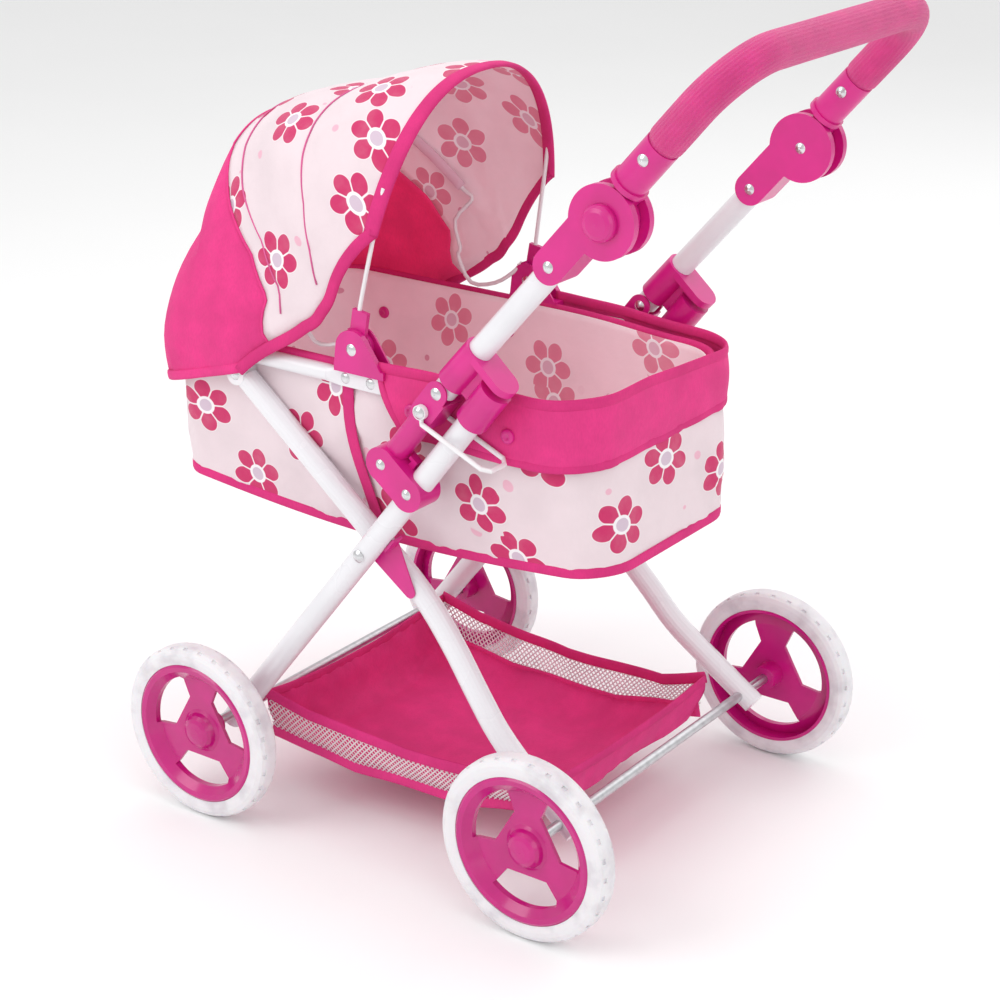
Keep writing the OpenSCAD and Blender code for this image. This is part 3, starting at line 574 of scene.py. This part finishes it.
def simulate(obj, held, slack=0.02, gravity=0.0, pressure=0.0, cap=0.006, outward=None):
    """Lets cloth settle for 20 frames with the held vertices fixed, and caps how far a point may move."""
    mesh = obj.data
    rest = np.array([v.co for v in mesh.vertices])
    group = obj.vertex_groups.new(name="held")
    group.add([int(i) for i in np.flatnonzero(held)], 1.0, "REPLACE")
    cloth = modifier(obj, "CLOTH")
    cloth.settings.quality = 6
    cloth.settings.mass = 0.15
    cloth.settings.tension_stiffness = 12
    cloth.settings.compression_stiffness = 8
    cloth.settings.shear_stiffness = 4
    cloth.settings.bending_stiffness = 0.8
    cloth.settings.vertex_group_mass = "held"
    cloth.settings.shrink_min = -slack
    cloth.settings.effector_weights.gravity = gravity
    cloth.settings.use_pressure = pressure != 0
    cloth.settings.uniform_pressure_force = pressure
    cloth.collision_settings.use_collision = False
    cloth.point_cache.frame_start = 1
    cloth.point_cache.frame_end = 20
    for number in range(1, 21):
        bpy.context.scene.frame_set(number)
    seen = obj.evaluated_get(bpy.context.evaluated_depsgraph_get())
    moved = np.array([v.co for v in seen.data.vertices]) - rest
    obj.modifiers.remove(cloth)
    obj.vertex_groups.remove(group)
    bpy.context.scene.frame_set(1)
    moved[~np.isfinite(moved).all(axis=1)] = 0
    if outward is not None:
        inward = np.minimum((moved * outward).sum(axis=1), 0)
        moved -= inward[:, None] * outward
    length = np.linalg.norm(moved, axis=1)
    moved *= (np.minimum(length, cap) / np.maximum(length, 1e-9))[:, None]
    mesh.vertices.foreach_set("co", (rest + moved).astype(np.float32).ravel())
    mesh.update()


def ripple(point, scale, amount, seed=0.0):
    """A smooth random displacement along one direction, in the units of amount."""
    return amount * noise.noise(Vector(point) * scale + Vector((seed, seed * 0.7, -seed)))


# ---------- tub ----------

RIM_Z = 379
RIM = dict(x0=-247, x1=148, half_w=107, front_r=42, rear_r=42)
BOTTOM = dict(x0=-247, x1=165, half_w=93, front_r=20, rear_r=36)
SAG = 13


def rounded(x0, x1, half_w, front_r, rear_r, arc=9, side=46, end=20):
    """A rounded rectangle from the middle of its front over the left: (x, y, normal x, normal y) each."""
    out = []
    for k in range(end // 2):
        out.append((x0, -(half_w - front_r) * k / (end // 2), -1, 0))
    for k in range(arc):
        a = math.radians(90 * k / arc)
        c, s = math.cos(a), math.sin(a)
        out.append((x0 + front_r * (1 - c), -(half_w - front_r) - front_r * s, -c, -s))
    for k in range(side):
        out.append((x0 + front_r + (x1 - rear_r - x0 - front_r) * k / side, -half_w, 0, -1))
    for k in range(arc):
        a = math.radians(90 * k / arc)
        c, s = math.cos(a), math.sin(a)
        out.append((x1 - rear_r * (1 - s), -(half_w - rear_r) - rear_r * c, s, -c))
    half = [*out]
    for k in range(end // 2):
        half.append((x1, -(half_w - rear_r) * (1 - k / (end // 2)), 1, 0))
    mirrored = [(x, -y, nx, -ny) for x, y, nx, ny in half[:0:-1]]
    return [*half, (x1, 0, 1, 0), *mirrored]


def rear_dip(x, y):
    """How much lower the rim hangs at the right rear corner."""
    return 8 / (1 + math.exp(-(x - 60) / 22)) / (1 + math.exp(-(y - 30) / 22))


def tub_point(share, v, inset=0.0):
    """Point of the tub's wall. share counts round the ring, v runs from 0 at the bottom to 1 at the rim."""
    bx, by, nx, ny = bottom_ring[share]
    rx, ry, _, _ = rim_ring[share]
    x, y = bx + (rx - bx) * v, by + (ry - by) * v
    lengthwise = min(max((bx - BOTTOM["x0"]) / (BOTTOM["x1"] - BOTTOM["x0"]), 0), 1)
    low = 254 - SAG * math.sin(math.pi * lengthwise) * abs(ny)
    z = low + (RIM_Z - rear_dip(x, y) - low) * v
    bulge = 4.5 * math.sin(math.pi * v) - inset
    bulge += ripple((x, y, z), 0.016, 3.2, 3) * math.sin(math.pi * min(v * 1.05, 1))
    bulge *= 1 - 0.7 * max(0, -nx)
    return x + nx * bulge, y + ny * bulge, z


bottom_ring = rounded(**BOTTOM)
rim_ring = rounded(**RIM)
RING = len(bottom_ring)
WALL_ROWS = 22


def tub_rows(inset, low, floor_z, caps=10):
    """Walls from the rim down, then the floor in shrinking rings."""
    rows = []
    for i in range(WALL_ROWS + 1):
        v = 1 - (1 - low) * i / WALL_ROWS
        rows.append([at(*tub_point(j, v, inset)) for j in range(RING)])
    last = [tub_point(j, low, inset) for j in range(RING)]
    for i in range(1, caps + 1):
        keep = 1 - i / (caps + 0.3)
        row = []
        for x, y, z in last:
            cx = min(max(x, -180), 105)
            level = floor_z + (z - floor_z) * max(0.0, 1 - i / 2.5)
            row.append(at(cx + (x - cx) * keep, y * keep, level))
        rows.append(row)
    return rows


def tub_slot(i, _):
    """The print on the walls and plain pink below."""
    return 0 if i < WALL_ROWS else 1


tub_cloth = grid(
    "tub_cloth", tub_rows(0.0, 0.0, 251), [mat_print, mat_pink, mat_lining], closed=True, slot_of=tub_slot
)
number = np.arange(len(tub_cloth.data.vertices))
row = number // RING
outward = np.array([(rim_ring[i % RING][2], rim_ring[i % RING][3], 0) for i in number], float)
simulate(tub_cloth, (row < 2) | (row >= WALL_ROWS), slack=0.012, pressure=0.6, cap=0.0025, outward=outward)
TUB_FLOWERS = [
    (-208, -97, 314, 10), (-107, -97, 309, 35), (-66, -97, 360, 0), (-11, -97, 319, 20), (60, -97, 292, 5),
    (166, -70, 291, 40), (90, -97, 250, 15), (160, -8, 322, 10), (-160, -97, 262, 50),
    (20, -97, 365, 30), (120, -97, 345, 12), (-215, -97, 368, 44), (-30, -97, 262, 8),
]
far_flowers = [(x + 22, -y, z + 4, turn + 17) for x, y, z, turn in TUB_FLOWERS if y < -60]
front_flowers = [(-252, -50, 300, 12), (-252, 35, 325, 40), (-252, 0, 365, 5), (-252, 68, 280, 22)]
flowers(tub_cloth, [(at(x, y, z), turn) for x, y, z, turn in TUB_FLOWERS + far_flowers + front_flowers])

tub_lining = grid("tub_lining", tub_rows(4.0, 0.1, 259), [mat_lining], closed=True)
LINING_FLOWERS = [
    (-118, 103, 350, 10), (-19, 103, 331, 30), (-12, 103, 300, 0), (83, 103, 362, 20), (60, 103, 300, 40),
    (-70, 103, 290, 25), (-190, 103, 300, 5), (140, 60, 320, 15), (140, -30, 345, 35), (-60, -103, 350, 10),
    (40, -103, 320, 30), (-150, -103, 320, 10), (-100, 40, 259, 10), (-20, -30, 259, 30), (60, 30, 259, 0),
    (100, -50, 259, 20), (-180, -20, 259, 45),
]
flowers(tub_lining, [(at(x, y, z), turn) for x, y, z, turn in LINING_FLOWERS])

bottom_path = [tub_point(j, 0.0, -0.6) for j in range(RING)]
bottom_binding = bar(
    "tub_bottom_binding", [at(x, y, z + 1) for x, y, z in bottom_path], (0, 0, 1), 0.0085, 0.0026,
    mat_binding, closed=True, sides=12, squareness=3,
)
rim_path = [tub_point(j, 0.975, -0.4) for j in range(RING)]
rim_binding = bar(
    "tub_rim_binding", [at(x, y, z) for x, y, z in rim_path], (0, 0, 1), 0.013, 0.0062, mat_binding,
    closed=True, sides=12, squareness=2.6,
)
for obj in (tub_cloth, tub_lining):
    thicken(obj, 0.0009)
tapes = []
for label, sy in SIDES:
    line = []
    for k in range(15):
        t = k / 14
        x = -57 + 21 * t ** 2
        on_side = [j for j in range(RING) if bottom_ring[j][1] * sy > 0]
        nearest = min(on_side, key=lambda j: abs(bottom_ring[j][0] - x))
        _, y, z = tub_point(nearest, 0.97 - 0.95 * t, -3.0)
        line.append(at(x, y, z))
    tapes.append(
        bar(f"tub_tape_{label}", line, (1, 0, 0), 0.011, 0.0016, mat_binding, sides=10, squareness=3)
    )


# ---------- apron ----------

APRON = dict(x0=-60, x1=156, half_w=114.5, front_r=10, rear_r=44)
APRON_TOP = 386
APRON_LOW = 339
APRON_FRONT = -22


def apron_line(count=150):
    """The apron's plan from its left front edge round the end to its right front edge."""
    ring = [p for p in rounded(**APRON) if p[0] > APRON_FRONT or p[2] > 0.5]
    left = [p for p in ring if p[1] < 0]
    right = [p for p in ring if p[1] >= 0]
    pts = np.array([*left, *right])
    length = np.concatenate([[0], np.cumsum(np.linalg.norm(np.diff(pts[:, :2], axis=0), axis=1))])
    want = np.linspace(0, length[-1], count)
    return [[float(np.interp(w, length, pts[:, c])) for c in range(4)] for w in want], length[-1]


line, apron_length = apron_line()
APRON_ROWS = 14
rows = []
for i in range(APRON_ROWS + 1):
    v = i / APRON_ROWS
    row = []
    for k, (x, y, nx, ny) in enumerate(line):
        s = apron_length * k / (len(line) - 1)
        from_end = min(s, apron_length - s)
        cut = 26 * (v ** 1.6) * math.exp(-from_end / 16)
        shift = -1 if nx < 0.5 else 0
        out = 1.5 + 2.0 * math.sin(math.pi * v) + 0.6 * v + ripple((x, y, 0), 0.03, 1.6, 9) * v
        low = APRON_LOW + ripple((x, y, 0), 0.02, 1.2, 5)
        z = APRON_TOP - rear_dip(x, y) * (1 - v) + ripple((x, y, 0), 0.018, 2.0, 2) + (low - APRON_TOP) * v
        row.append(at(x + nx * out - (shift * cut if abs(ny) > 0.5 else 0), y + ny * out, z))
    rows.append(row)
apron = grid("apron_cloth", rows, [mat_pink])
columns = len(line)
number = np.arange(len(apron.data.vertices))
outward = np.array([(line[k % columns][2], line[k % columns][3], 0) for k in number], float)
simulate(apron, number < columns, slack=0.012, gravity=0.6, pressure=0.4, cap=0.005, outward=outward)
points = [vertex.co.copy() for vertex in apron.data.vertices]
settled = [points[i * columns:(i + 1) * columns] for i in range(APRON_ROWS + 1)]
left_edge, right_edge = ([across[k] for across in settled] for k in (0, columns - 1))
edge = smooth_path([*left_edge[1:], *settled[-1][1:-1], *right_edge[:0:-1]], 1)
apron_binding = tape("apron_binding", edge, 0.007, 0.0022)
apron_top = tape("apron_top_fold", settled[0], 0.009, 0.0034, squareness=2.4)
thicken(apron, 0.0011)


# a cap's profile from its foot to its middle, as shares of its radius and height
DOME_PROFILE = [
    (1.0, -0.2), (1.0, 0.35), (0.93, 0.62), (0.78, 0.82), (0.55, 0.94), (0.42, 0.9), (0.36, 0.78),
    (0.0, 0.76),
]


def dome(centre, normal, radius, height, sides=24):
    """A snap fastener's cap."""
    normal = Vector(normal).normalized()
    u = normal.orthogonal().normalized()
    w = normal.cross(u)
    turns = [2 * math.pi * k / sides for k in range(sides)]
    verts = [
        centre + (u * math.cos(a) + w * math.sin(a)) * radius * r + normal * height * h
        for r, h in DOME_PROFILE for a in turns
    ]
    faces = [
        [i * sides + k, i * sides + (k + 1) % sides, (i + 1) * sides + (k + 1) % sides, (i + 1) * sides + k]
        for i in range(len(DOME_PROFILE) - 1) for k in range(sides)
    ]
    return verts, faces, [(0, 0)] * 4 * len(faces)


snaps = joined(
    "apron_snaps",
    [
        dome(at(x, sy * 119.5, z), (0, sy, 0), 0.0056, 0.0026)
        for sy in (-1, 1) for x, z in ((10, 359), (97, 358))
    ]
    + [
        dome(at(x, sy * 102, z), (0, -sy, 0), 0.0052, 0.0022)
        for sy in (-1, 1) for x, z in ((-191, 345), (-60, 352))
    ],
    mat_magenta,
)


# ---------- hood ----------

HINGE = (-45, 396)
ARCH = 79
HEM = 198
BOW_STEP = 31.5
SAG_END = ARCH + 2 * BOW_STEP


def eased(x, xs, ys):
    """A smooth curve through points, by one cubic in each span."""
    slopes = np.gradient(np.array(ys, float), xs)
    i = int(np.clip(np.searchsorted(xs, x) - 1, 0, len(xs) - 2))
    step = xs[i + 1] - xs[i]
    t = min(max((x - xs[i]) / step, 0), 1)
    value = ys[i] * (1 + 2 * t) * (1 - t) ** 2 + ys[i + 1] * (3 - 2 * t) * t * t
    return value + slopes[i] * step * t * (1 - t) ** 2 - slopes[i + 1] * step * (1 - t) * t * t


def hood_size(phi):
    """(radius, half width, squareness, shortest distance from the hinge) of the hood at a fan angle."""
    r = np.interp(phi, [79, 112, 142, 165, 180, 198], [198, 182, 218, 207, 214.5, 219])
    half_w = eased(phi, [79, 142, 180, 188, 198], [121, 117, 120, 122, 122])
    n = eased(phi, [79, 112, 142, 165, 180, 188, 198], [2.35, 3.5, 2.65, 4.0, 6.0, 7.5, 8])
    start = eased(phi, [79, 92, 113, 140, 166, 186, 198], [92, 70, 46, 38, 44, 70, 112])
    return r, half_w, n, start


def hood_point(phi, q, grow=0.0):
    """Point of the hood. q goes from 0 at the left edge over the top to 1 at the right edge."""
    r, half_w, n, start = hood_size(phi)
    low = math.asin((start / r) ** (n / 2))
    b = low + (math.pi - 2 * low) * q
    sx = -math.copysign(abs(math.cos(b)) ** (2 / n), math.cos(b))
    sy = abs(math.sin(b)) ** (2 / n)
    sag = max(0.0, math.sin(math.pi * (phi - ARCH) / BOW_STEP)) ** 2 if phi < SAG_END else 0.0
    reach = (r + grow - sag) * sy
    a = math.radians(phi)
    x, z = HINGE[0] + reach * math.cos(a), HINGE[1] + reach * math.sin(a)
    push = 4 * math.exp(-(((x + 160) / 26) ** 2)) * max(0.0, (phi - 180) / 18) * (1 if abs(sx) > 0.8 else 0)
    y = sx * (half_w + grow + push)
    return x, y, z


def split(q):
    """Fan angle of the seam between the printed canopy and the pink front panel."""
    reach = abs(math.sin(0.28 + (math.pi - 0.56) * q)) ** 0.83
    reaches = [0.34, 0.4, 0.46, 0.6, 0.78, 0.9, 1]
    return float(np.interp(reach, reaches, [189, 176, 163, 152, 148, 144, 138]))


def bow_line(row):
    """Fan angle along one of the canopy's 30 rows."""
    return lambda q: ARCH + (split(q) - ARCH) * row / 30


ACROSS = 76
quarters = [j / ACROSS for j in range(ACROSS + 1)]


def fan(first, last, count, grow=0.0, seed=0.0, amount=1.5):
    rows = []
    for i in range(count + 1):
        row = []
        for q in quarters:
            a, b = (f(q) if callable(f) else f for f in (first, last))
            phi = a + (b - a) * i / count
            x, y, z = hood_point(phi, q, grow)
            bend = ripple((x, y, z), 0.02, amount, seed)
            row.append(at(x, y + math.copysign(bend, y) * 0.7, z + bend * 0.6))
        rows.append(row)
    return rows


def fan_uv(rows):
    """UV in metres that stays true to size near the hinge: u counts round the hinge, v along the arch."""
    p = np.array([[tuple(v) for v in row] for row in rows])
    hinge = np.array(tuple(at(HINGE[0], 0, HINGE[1])))
    away = p - hinge
    reach = np.hypot(away[..., 0], away[..., 2])
    phi = np.arctan2(away[..., 2], away[..., 0])
    phi[phi < 0] += 2 * math.pi
    steps = np.linalg.norm(np.diff(p, axis=1), axis=2)
    v = np.cumsum(np.concatenate([np.zeros((p.shape[0], 1)), steps], axis=1), axis=1)
    v -= v[:, ACROSS // 2][:, None]
    return np.stack([(phi - math.radians(112)) * reach, v], axis=2)


canopy_rows = fan(ARCH, split, 30, seed=4)
canopy = grid("hood_canopy", canopy_rows, [mat_print, mat_lining], uv=fan_uv(canopy_rows))
panel = grid("hood_front_panel", fan(split, HEM, 22, seed=4), [mat_pink, mat_pink_inside])


def rows_and_edges(obj):
    """The row of each vertex, and whether it lies on the left or right edge."""
    vertex = np.arange(len(obj.data.vertices))
    across = vertex % (ACROSS + 1)
    return vertex // (ACROSS + 1), (across == 0) | (across == ACROSS)


row, edges = rows_and_edges(canopy)
simulate(canopy, (row == 0) | (row == 15) | (row >= 27) | edges, slack=0.006, pressure=0.5, cap=0.0025)
row, edges = rows_and_edges(panel)
simulate(panel, (row <= 1) | (row == 22) | edges, slack=0.008, pressure=0.5, cap=0.003)


def hood_at(phi, y):
    """The canopy's point at a fan angle and a distance from the middle."""
    best = min(range(801), key=lambda k: abs(hood_point(phi, k / 800)[1] - y))
    return at(*hood_point(phi, best / 800))


HOOD_FLOWERS = [
    (120, -75, 10), (148, -96, 30), (144, -112, 5), (87, -90, 12), (89, -111, 40), (95, -58, 20),
    (132, -33, 0),
    (100, 12, 25), (124, 40, 10), (146, 12, 35), (86, 62, 5), (108, 84, 30), (140, 88, 15), (88, 102, 0),
    (122, 108, 22), (150, 110, 8), (80, -14, 30), (112, -20, 48),
]
flowers(canopy, [(hood_at(phi, y), turn) for phi, y, turn in HOOD_FLOWERS])


def welt(name, phi_of, width, thick, material, grow=1.0, first=0.0, last=1.0, count=90):
    """A seam or tape across the hood at a fan angle."""
    path, wide = [], []
    for k in range(count + 1):
        q = first + (last - first) * k / count
        phi = phi_of(q) if callable(phi_of) else phi_of
        a, b = Vector(hood_point(phi - 1, q, grow)), Vector(hood_point(phi + 1, q, grow))
        path.append(at(*hood_point(phi, q, grow)))
        wide.append((b - a).normalized())
    return bar(name, path, wide, width, thick, material, sides=10, squareness=2.6)


arch_binding = welt("hood_arch_binding", ARCH + 1.2, 0.0125, 0.0042, mat_binding, first=0.0, last=1.0)
hem_binding = welt("hood_hem_binding", HEM - 1, 0.008, 0.003, mat_pink)
panel_seam = welt("hood_panel_seam", split, 0.0022, 0.0016, mat_pink)
bow_seams = [
    welt("hood_bow_seam_front", bow_line(15), 0.0013, 0.0012, mat_thread, first=0.02, last=0.98),
    welt("hood_bow_seam_mid", bow_line(27), 0.0013, 0.0012, mat_thread, first=0.02, last=0.98),
]
corner_bindings = []
for label, q in (("left", 0.0), ("right", 1.0)):
    path = [at(*hood_point(ARCH + (HEM - ARCH) * k / 60, q, 0.8)) for k in range(61)]
    centre = at(HINGE[0], path[0].y * 1000, HINGE[1])
    wide = [(p - centre).normalized() for p in path]
    corner_bindings.append(tape(f"hood_corner_binding_{label}", path, 0.0095, 0.0036, wide))
for obj in (canopy, panel):
    thicken(obj, 0.0009, inside=1)

WIRE = 0.0034


def wire(name, phi, feet, grow):
    """A hood bow: it follows the canopy, grow millimetres outside it, and ends in feet on each side."""
    start = [at(x, -y, z) for x, y, z in feet]
    arch = [at(*hood_point(phi, k / 60, grow)) for k in range(4, 57)]
    end = [at(x, y, z) for x, y, z in feet[::-1]]
    path = smooth_path([*start, *arch, *end], 3)
    side = [Vector((-math.sin(math.radians(phi)), 0, math.cos(math.radians(phi))))]
    return bar(name, path, side, WIRE, WIRE, mat_wire, sides=12)


front_wire = wire("bow_front_wire", ARCH + 1.2, [(-42, 113.2, 414), (-41, 113.2, 430)], 0.8)
MID_FEET = [
    (-52, 109.3, 410.4), (-58, 105.5, 402), (-74, 102, 391), (-97, 100, 388), (-110, 100, 408),
    (-108, 100, 416), (-114, 101, 438),
]
mid_wire = wire("bow_mid_wire", 134, MID_FEET, -4.5)
mid_sleeve = welt("bow_mid_sleeve", 134, 0.009, 0.0052, mat_lining, grow=-4.2, first=0.09, last=0.91)


# ---------- basket ----------

BASKET_FRONT = -143
BASKET_REAR = 134


def basket_section(t):
    """(x, top half width, top z, low half width, low z, floor z) along the basket, t from front to rear."""
    x = BASKET_FRONT + (BASKET_REAR - BASKET_FRONT) * t
    top_w = np.interp(t, [0, 0.5, 1], [119, 113, 110])
    top_z = np.interp(t, [0, 0.15, 0.5, 0.85, 1], [86, 77, 70, 74, 88])
    low_w = np.interp(t, [0, 0.5, 1], [114, 108, 103])
    low_z = np.interp(t, [0, 0.3, 0.7, 1], [46, 36, 38, 56])
    floor_z = np.interp(t, [0, 0.3, 0.65, 1], [44, 34, 33, 54])
    return x, top_w, top_z, low_w, low_z, floor_z


BASKET_T = 44
BASKET_J = 40
END_ROWS = 8


def basket_row(t, rise=0.0, end=0):
    """Points across the floor at t. rise lifts the row up the end wall, 1 at its top edge."""
    x, top_w, top_z, low_w, low_z, floor_z = basket_section(t)
    row = []
    for j in range(BASKET_J + 1):
        q = 2 * j / BASKET_J - 1
        width = low_w + (top_w - low_w) * rise
        z = floor_z + (low_z - floor_z) * abs(q) ** 3
        edge_lift = 9 * max(0.0, (abs(q) - 0.93) / 0.07) ** 1.5
        z += edge_lift
        if rise:
            top = top_z - 9 * (1 - abs(q) ** 2.2) * (1 if end < 0 else 0.6)
            z = z + (top - z) * rise
        px = x + end * (5 * rise + 3.5 * math.sin(math.pi * rise))
        z += ripple((px, q * width, z), 0.02, 2.2, 11) * (1 - 0.6 * rise)
        row.append(at(px, q * width, z))
    return row


rows = [basket_row(0.02, 1 - k / END_ROWS, -1) for k in range(END_ROWS)]
rows += [basket_row(0.02 + 0.96 * k / BASKET_T) for k in range(BASKET_T + 1)]
rows += [basket_row(0.98, (k + 1) / END_ROWS, 1) for k in range(END_ROWS)]
basket_cloth = grid("basket_cloth", rows, [mat_pink, mat_pink])
last_row = len(rows) - 1
number = np.arange(len(basket_cloth.data.vertices))
row, column = number // (BASKET_J + 1), number % (BASKET_J + 1)
held = (row == 0) | (row == last_row) | (column == 0) | (column == BASKET_J)
simulate(basket_cloth, held, slack=0.02, gravity=0.4, cap=0.006)


def side_point(sy, t, v):
    """Point of the basket's mesh side, v from the pink strip at the floor to the top binding."""
    x, top_w, top_z, low_w, low_z, _ = basket_section(t)
    low = low_z + 8
    y = low_w + (top_w - low_w) * v + 1.5 * math.sin(math.pi * v)
    z = low + (top_z - low) * v
    return at(x, sy * (y + ripple((x, sy * 50, z), 0.02, 1.6, 13)), z + ripple((x, 0, 0), 0.02, 1.0, 6))


meshes = []
MESH_CELL = 4.4
for label, sy in SIDES:
    threads = []
    length, height = 268.0, 36.0
    count = int(length / MESH_CELL)
    lean = height / length * 0.72
    for direction in (-1, 1):
        for k in range(-12, count + 12):
            t0 = k / count
            path = []
            for m in range(9):
                v = m / 8
                t = t0 + direction * lean * (v - 0.5)
                if 0 <= t <= 1:
                    path.append(side_point(sy, t, v) + Vector((0, sy * direction * 0.0002, 0)))
            if len(path) > 1:
                threads.append(swept(path, (1, 0, 0), 0.0013, 0.0008, sides=4))
    meshes.append(joined(f"basket_mesh_{label}", threads, mat_mesh))

bindings = []
for label, sy in SIDES:
    top, low = ([side_point(sy, k / 60, v) for k in range(61)] for v in (1.0, -0.1))
    bindings += [
        tape(f"basket_side_binding_{label}", top, 0.010, 0.0028),
        bar(f"basket_side_strip_{label}", low, (0, 0, 1), 0.013, 0.0018, mat_pink, sides=10, squareness=3),
    ]
for label, index in (("front", 0), ("rear", last_row)):
    end = [basket_cloth.data.vertices[index * (BASKET_J + 1) + j].co.copy() for j in range(BASKET_J + 1)]
    bindings.append(tape(f"basket_end_binding_{label}", end, 0.008, 0.0028))
thicken(basket_cloth, 0.0010)


# ---------- grip ----------

SLOPE = math.radians(48.6)
FOLD = (52.76, 388.09)
GRIP_END = 347
BEND = 45
GRIP_Y = 134.5
FOAM_START = 267.5


def on_handle(s, y):
    return at(FOLD[0] + s * math.cos(SLOPE), y, FOLD[1] + s * math.sin(SLOPE))


def grip_path():
    """Centre line of the foam: up one arm, round the bend, across and back down."""
    half = [(FOAM_START + (GRIP_END - BEND - FOAM_START) * k / 10, -GRIP_Y) for k in range(10)]
    for k in range(15):
        a = math.radians(90 * k / 14)
        half.append((GRIP_END - BEND + BEND * math.sin(a), -GRIP_Y + BEND - BEND * math.cos(a)))
    half += [(GRIP_END, -(GRIP_Y - BEND) * (1 - k / 16)) for k in range(1, 16)]
    full = [*half, (GRIP_END, 0), *[(s, -y) for s, y in half[::-1]]]
    return [on_handle(s, y) for s, y in full]


path = np.array([tuple(p) for p in grip_path()])
along = directions(path, False)
up = np.array([-math.sin(SLOPE), 0, math.cos(SLOPE)])
across = np.cross(along, up)
FOAM_SIDES = 112
RIBS = 28
verts, faces, corners = [], [], []
length = np.concatenate([[0], np.cumsum(np.linalg.norm(np.diff(path, axis=0), axis=1))])
for i, centre in enumerate(path):
    to_end = min(length[i], length[-1] - length[i])
    ease = min(1.0, 0.86 + 0.14 * (to_end / 0.004) ** 0.5)
    for k in range(FOAM_SIDES):
        a = 2 * math.pi * k / FOAM_SIDES
        rib = 0.00042 * abs(math.sin(RIBS * a / 2)) ** 0.7
        soft = ripple(tuple(centre * 1000), 0.02, 0.00018, 2)
        r = (0.01262 + rib + soft) * ease
        verts.append(centre + r * (math.cos(a) * up + math.sin(a) * across[i]))
for i in range(len(path) - 1):
    for k in range(FOAM_SIDES):
        k2 = (k + 1) % FOAM_SIDES
        here, there = i * FOAM_SIDES, (i + 1) * FOAM_SIDES
        faces.append([here + k, here + k2, there + k2, there + k])
        u0, u1 = k * 0.00073, (k + 1) * 0.00073
        corners += [(u0, length[i]), (u1, length[i]), (u1, length[i + 1]), (u0, length[i + 1])]
for first, order in ((0, 1), ((len(path) - 1) * FOAM_SIDES, -1)):
    faces.append([first + k for k in range(FOAM_SIDES)][::order])
    corners += [(0, 0)] * FOAM_SIDES
foam_grip = piece("foam_sleeve", verts, faces, [mat_foam], corners)


# ---------- rides ----------

carried = [
    tub_cloth, tub_lining, bottom_binding, rim_binding, *tapes, apron, apron_binding, apron_top, snaps,
    panel, hem_binding, panel_seam,
]
for obj in carried:
    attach(obj, "carriage")
for obj in (arch_binding, front_wire):
    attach(obj, "hood_front")
for obj in (mid_wire, mid_sleeve):
    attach(obj, "hood_mid")
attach(foam_grip, "grip")
hinge = at(HINGE[0], 0, HINGE[1])
for obj in (canopy, *bow_seams, *corner_bindings):
    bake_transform(obj)
for obj in (basket_cloth, *meshes, *bindings):
    at(-120, 0, 60)
    at(110, 0, 60)
    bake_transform(obj)

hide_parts("bassinet")
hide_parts("base_board")
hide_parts("rim_hoop", "front_hoop")
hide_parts("apron")
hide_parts("hood_panel")
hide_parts("hood_gore_rear", "hood_gore_mid")
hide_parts("front_bow")
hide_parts("mid_bow")
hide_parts("basket")
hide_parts("foam_grip")


# ---------- studio ----------


def lamp(name, place, size, power):
    """An area lamp that faces the stroller's middle. power is in watts."""
    data = bpy.data.lights.new(name, "AREA")
    data.shape = "RECTANGLE"
    data.size, data.size_y = size
    data.energy = power
    obj = bpy.data.objects.new(name, data)
    bpy.context.scene.collection.objects.link(obj)
    obj.location = place
    obj.rotation_euler = (Vector((0, 0, 0.3)) - Vector(place)).to_track_quat("-Z", "Y").to_euler()


lamp("key", (-1.1, -2.0, 1.9), (1.6, 1.6), 21)
lamp("fill", (2.2, -1.2, 1.3), (1.6, 1.6), 9)
lamp("top", (0, 0.2, 2.4), (2.2, 2.2), 15)
lamp("back", (0.4, 2.2, 1.6), (2.0, 1.4), 8)

world = bpy.data.worlds.new("studio")
bpy.context.scene.world = world
world.use_nodes = True
world.node_tree.nodes["Background"].inputs[0].default_value = (1, 1, 1, 1)
world.node_tree.nodes["Background"].inputs[1].default_value = 0.82
bpy.context.scene.view_settings.view_transform = "Standard"

paper = Graph("studio_floor")
patches = paper.noise(paper.place(), 3, 1)
paper.set(Base_Color=paper.mix(patches, (0.92, 0.92, 0.92), (0.94, 0.94, 0.94)), Roughness=0.75)
ticks = np.linspace(-6, 6, 9)
floor = grid("studio_sweep", [[Vector((x, y, -0.0005)) for x in ticks] for y in ticks], [paper.material])

CAMERA_PLACE = Vector((0.9762, -1.3770, 0.9166))
CAMERA_LOOK = Vector((-0.5417, 0.7571, -0.3654))
camera_data = bpy.data.cameras.new("view")
camera_data.sensor_width = 36
camera_data.lens = 82.87
camera_data.shift_x = -0.0036
camera_data.shift_y = -0.0015
camera = bpy.data.objects.new("view", camera_data)
bpy.context.scene.collection.objects.link(camera)
camera.location = CAMERA_PLACE
turned = CAMERA_LOOK.to_track_quat("-Z", "Y").to_matrix() @ Matrix.Rotation(math.radians(0.11), 3, "Z")
camera.rotation_euler = turned.to_euler()
bpy.context.scene.camera = camera
